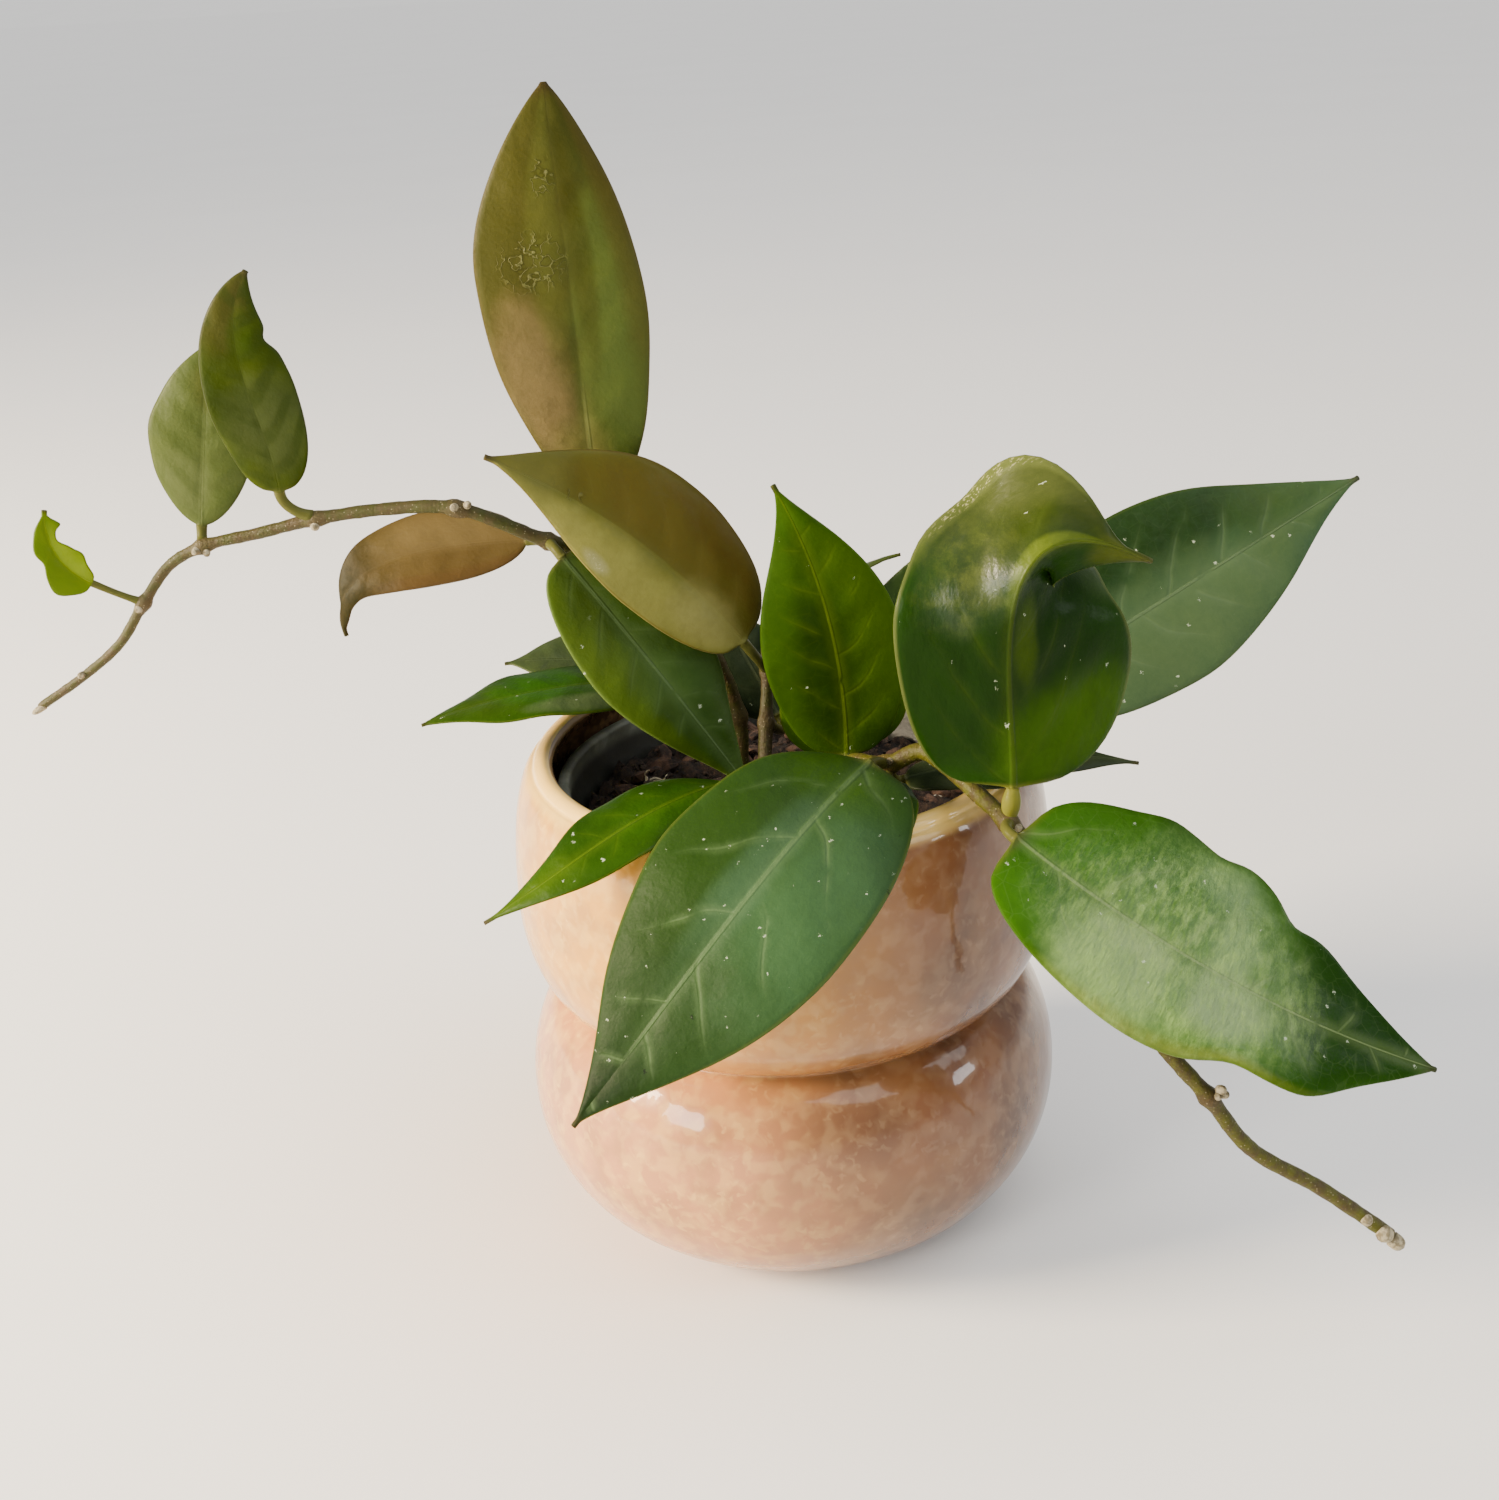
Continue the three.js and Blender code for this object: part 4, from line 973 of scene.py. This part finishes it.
def blade_grid(leaf, t, s):
    """Middle surface of the blade and its normals, with the distance from the rib."""
    centre, _, facing, side = rib_frame(leaf, t)
    points, across, widths = [], [], []
    for half, mask in ((leaf["left"], s < 0), (leaf["right"], s >= 0)):
        half = {**HALF, "fold": leaf["fold"], **half}
        fold = half["fold"]
        by, at = half["droop"]
        width = half["width"] * width_share(t, half)
        for place, more, spread in half["swell"]:
            width = width * (1 + more * np.exp(-((t - place) / spread) ** 2))
        width = np.maximum(width, TIP_HALF_WIDTH)[:, None]
        share = np.abs(s[mask])[None, :]
        start = np.radians(fold[0] + by * np.exp(-((t - at) / DROOP_SPREAD) ** 2))[:, None]
        swing = math.radians(fold[1] - fold[0]) * share
        swing = np.where(np.abs(swing) < 1e-6, 1e-6, swing)
        out = width * share * (np.sin(start + swing) - np.sin(start)) / swing
        up = width * share * (np.cos(start) - np.cos(start + swing)) / swing
        phase = 2 if mask[0] else 0
        ripple = leaf["wave"] * np.sin(2 * math.pi * (BLADE_WAVES * t) + phase)[:, None]
        up = up + ripple * share * share * np.minimum(1, width / half["width"])
        way = np.sign(s[mask])[None, :]
        points.append(centre[:, None] + side[:, None] * (out * way)[..., None]
                      + facing[:, None] * up[..., None])
        across.append(width * share * way)
        widths.append(np.broadcast_to(width, (len(t), mask.sum())))
    point = np.concatenate(points, axis=1)
    slope = unit(np.cross(np.gradient(point, axis=1), np.gradient(point, axis=0)))
    level = np.minimum(1, np.concatenate(widths, axis=1) / SLOPED_WIDTH)[..., None]
    normal = unit(slope * level + facing[:, None, :] * (1 - level))
    return point, normal, np.concatenate(across, axis=1)


def make_leaf(name, leaf, draw):
    leaf = {**LEAF, **leaf, "look": {**LOOK, **leaf["look"]}}
    halves = np.linspace(0, 1, COLUMNS // 2 + 1) ** 1.35
    s = np.concatenate([-halves[:0:-1], halves])
    even = np.linspace(0, 1, ROWS)
    t = 0.55 * even + 0.45 * (1 - np.cos(even * math.pi)) / 2
    t = np.where(t < 0.12, 0.12 * (t / 0.12) ** 1.8, t)
    point, normal, across = blade_grid(leaf, t, s)
    length = leaf_length(leaf)
    full = max(leaf["left"]["width"], leaf["right"]["width"])
    grid_t, grid_s = t[:, None], s[None, :]

    # Gentle puckers between the side veins, and a slight droop of the margin
    order = (grid_t * length - VEIN_SLANT * np.abs(across)) / (length / leaf["look"]["veins"])
    swell = np.sin(2 * math.pi * (order + np.where(grid_s < 0, VEIN_SHIFT, 0)) + draw.uniform(0, 6))
    calm = np.clip(np.abs(grid_s) * 3, 0, 1) * np.clip((1 - np.abs(grid_s)) * 2.2, 0, 1)
    lift = 0.01 * full * swell * (calm * np.sin(math.pi * grid_t) ** 0.5)
    waves = np.sin(2 * math.pi * (3.3 * grid_t + draw.uniform(0, 1)) + grid_s * 2)
    lift = lift + 0.02 * full * waves * grid_s ** 4 * np.sin(math.pi * grid_t)
    point = point + normal * lift[..., None]

    # Thickness: thinner at the margin, a raised rib below, a shallow furrow above
    half = BLADE_THICKNESS / 2 * (0.95 - 0.4 * np.abs(grid_s) ** 3) * (1 - 0.3 * grid_t)
    stout = leaf["petiole"]
    rib = np.exp(-(across / (0.9 - 0.5 * grid_t)) ** 2) * (1 - grid_t) ** 0.7
    upper = point + normal * (half + 0.25 * stout * rib * np.exp(-grid_t * 9) - 0.10 * rib)[..., None]
    lower = point - normal * (half + 0.55 * stout * rib)[..., None]
    margin = half[:, [0, -1]]
    left = point[:, :1] + unit(point[:, :1] - point[:, 1:2]) * margin[:, :1, None]
    right = point[:, -1:] + unit(point[:, -1:] - point[:, -2:-1]) * margin[:, 1:, None]
    blade = np.concatenate([upper, right, lower[:, ::-1], left], axis=1)
    wide = len(s)

    # Petiole: from inside the stem to the foot of the blade
    centre, tangent, facing, side = rib_frame(leaf, np.array([0.0]))
    joint = np.array(NODE[leaf["joint"]], float)
    start = joint + unit(centre[0] - joint) * PETIOLE_START
    pull = centre[0] - tangent[0] * np.linalg.norm(centre[0] - start) / 2
    u = np.linspace(0, 1, STALK_RINGS)[:, None]
    path = (1 - u) ** 2 * start + 2 * (1 - u) * u * pull + u ** 2 * centre[0]
    way = unit(2 * (1 - u) * (pull - start) + 2 * u * (centre[0] - pull))
    across_way = unit(np.cross(way, facing[0]))
    up_way = np.cross(across_way, way)
    steps = np.arange(1, wide + 1) * math.pi / (wide + 1)
    turn = np.concatenate([math.pi - steps, [0], -steps, [math.pi]])
    swelling = leaf["look"]["stalk_swell"] - 0.1
    thick = stout * (1 + 0.22 * np.exp(-(u[:, 0] / 0.12) ** 2) + swelling * np.sin(math.pi * u[:, 0]))
    stalk = path[:, None] + circles(turn, across_way, up_way) * thick[:, None, None]
    foot = centre[0] + stout * circles(turn, side, facing)
    blend = np.clip(t / 0.012, 0, 1)[:, None, None]
    blend = blend * blend * (3 - 2 * blend)
    middle = blade.mean(axis=1, keepdims=True)
    blade = (foot + (middle - middle[:1])) * (1 - blend) + blade * blend
    points = np.concatenate([stalk[:-1], blade], axis=0)

    # What the material needs at each point
    rows, count = points.shape[:2]
    stalk_rows = len(stalk) - 1
    info, kind = np.zeros((2, rows, count, 3))
    info[stalk_rows:, :, 0] = np.hstack([across, across[:, -1:], across[:, ::-1], across[:, :1]])
    info[stalk_rows:, :, 1] = (t * length)[:, None]
    info[:stalk_rows, :, 1] = -np.linalg.norm(path[:-1] - centre[0], axis=1)[:, None]
    info[stalk_rows:, :, 2] = t[:, None]
    kind[stalk_rows:, :, 0] = np.concatenate([s, [1.03], s[::-1], [-1.03]])
    kind[:, :, 1] = np.concatenate([np.ones(wide), [0], -np.ones(wide), [0]])
    kind[:stalk_rows, :, 2] = 1
    kind[stalk_rows:, :, 2] = np.clip(1 - t / 0.02, 0, 1)[:, None]
    piece = new_piece("grown_" + name, points.reshape(-1, 3), ring_faces(rows, count),
                      leaf_material("look_" + name, leaf),
                      attributes={"blade": info.reshape(-1, 3), "part": kind.reshape(-1, 3)})
    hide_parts(name)


# The whole plant

draw = np.random.default_rng(SEED)
make_cover_pot()
make_nursery_pot()
make_soil()
scatter("bark_chips", draw, *BARK_CHIPS, crumb_material("bark", "#2a1c14", "#5c4232"), 0.35)
scatter("soil_crumbs", draw, *SOIL_CRUMBS, crumb_material("crumb", "#1a120c", "#3c2c20"), 0.2)
make_roots(draw)
bark_left = stem_material("look_vine_left", "#3a3c14", "#42371e", "#4c4026")
bark_right = stem_material("look_vine_right", "#4a4a0e", "#3e331a", "#4a3c22")
bark_middle = stem_material("look_short_stems", "#34360f", "#3a2f1a", "#463a22")
for stem_name, bark in zip(STEMS, (bark_left, bark_right, bark_middle, bark_middle)):
    make_stem(stem_name, STEMS[stem_name], bark, draw)
make_stubs()
for leaf_name, leaf_facts in LEAVES.items():
    make_leaf(leaf_name, leaf_facts, draw)

# Floor, light and camera

LIT_PLACE = (0, 0, 0.07)

floor_mesh = bpy.data.meshes.new("floor")
inner = [(-20, -20, 0), (20, -20, 0), (20, 20, 0), (-20, 20, 0)]
outer = [(-42, -42, 3), (42, -42, 3), (42, 42, 3), (-42, 42, 3)]
sides = [(i, 4 + i, 4 + (i + 1) % 4, (i + 1) % 4) for i in range(4)]
floor_mesh.from_pydata(inner + outer, [], [(0, 1, 2, 3)] + sides)
floor = bpy.data.objects.new("floor", floor_mesh)
bpy.context.scene.collection.objects.link(floor)
paper = Shader("floor_paper")
paper.color = paper.mix(paper.noise(paper.place(), 0.004, 2.0), linear("#f4f3f1"), linear("#efeeec"))
floor_mesh.materials.append(paper.finish(0.9))


def stand(name, data, place, back, right):
    """Puts a light or a camera at a place in the scene, with its back turned that way."""
    up = np.cross(back, right)
    thing = bpy.data.objects.new(name, data)
    thing.matrix_world = Matrix([[right[i], up[i], back[i], place[i]] for i in range(3)] + [[0, 0, 0, 1]])
    bpy.context.scene.collection.objects.link(thing)
    return thing


def area_light(name, place, size, power, tint):
    light = bpy.data.lights.new(name, "AREA")
    light.shape = "SQUARE"
    light.size = size
    light.energy = power
    light.color = tint
    back = unit(np.array(place, float) - LIT_PLACE)
    stand(name, light, place, back, unit(np.cross([0, 0, 1], back)))


area_light("warm_left", (-1.25, -0.2, 0.55), size=0.5, power=70.0, tint=(1.0, 0.82, 0.58))
area_light("window_left", (-0.98, -0.84, 0.46), size=0.4, power=12.0, tint=(1.0, 0.95, 0.88))
area_light("window_right", (1.15, -0.35, 0.5), size=0.3, power=3.5, tint=(0.95, 0.97, 1.0))

sky = bpy.data.lights.new("soft_top", "SUN")
sky.energy = 2.2
sky.angle = math.radians(60)
sky_lamp = bpy.data.objects.new("soft_top", sky)
sky_lamp.rotation_euler = (math.radians(12), math.radians(24), 0)
bpy.context.scene.collection.objects.link(sky_lamp)

world = bpy.data.worlds.new("studio")
world.use_nodes = True
world.node_tree.nodes["Background"].inputs["Color"].default_value = (1.0, 1.0, 1.0, 1.0)
world.node_tree.nodes["Background"].inputs["Strength"].default_value = 0.45
bpy.context.scene.world = world

eye = np.array([-6.0, -370.5, 271.3]) * MM
forward = unit(np.array([0.0, 0.917, -0.399]))
right = np.array([0.998, -0.024, -0.056])
right = unit(right - forward * right.dot(forward))
lens = bpy.data.cameras.new("camera")
lens.sensor_width = 36
lens.lens = 43.8
lens.clip_start = 0.01
bpy.context.scene.camera = stand("camera", lens, eye, -forward, right)

bpy.context.view_layer.update()
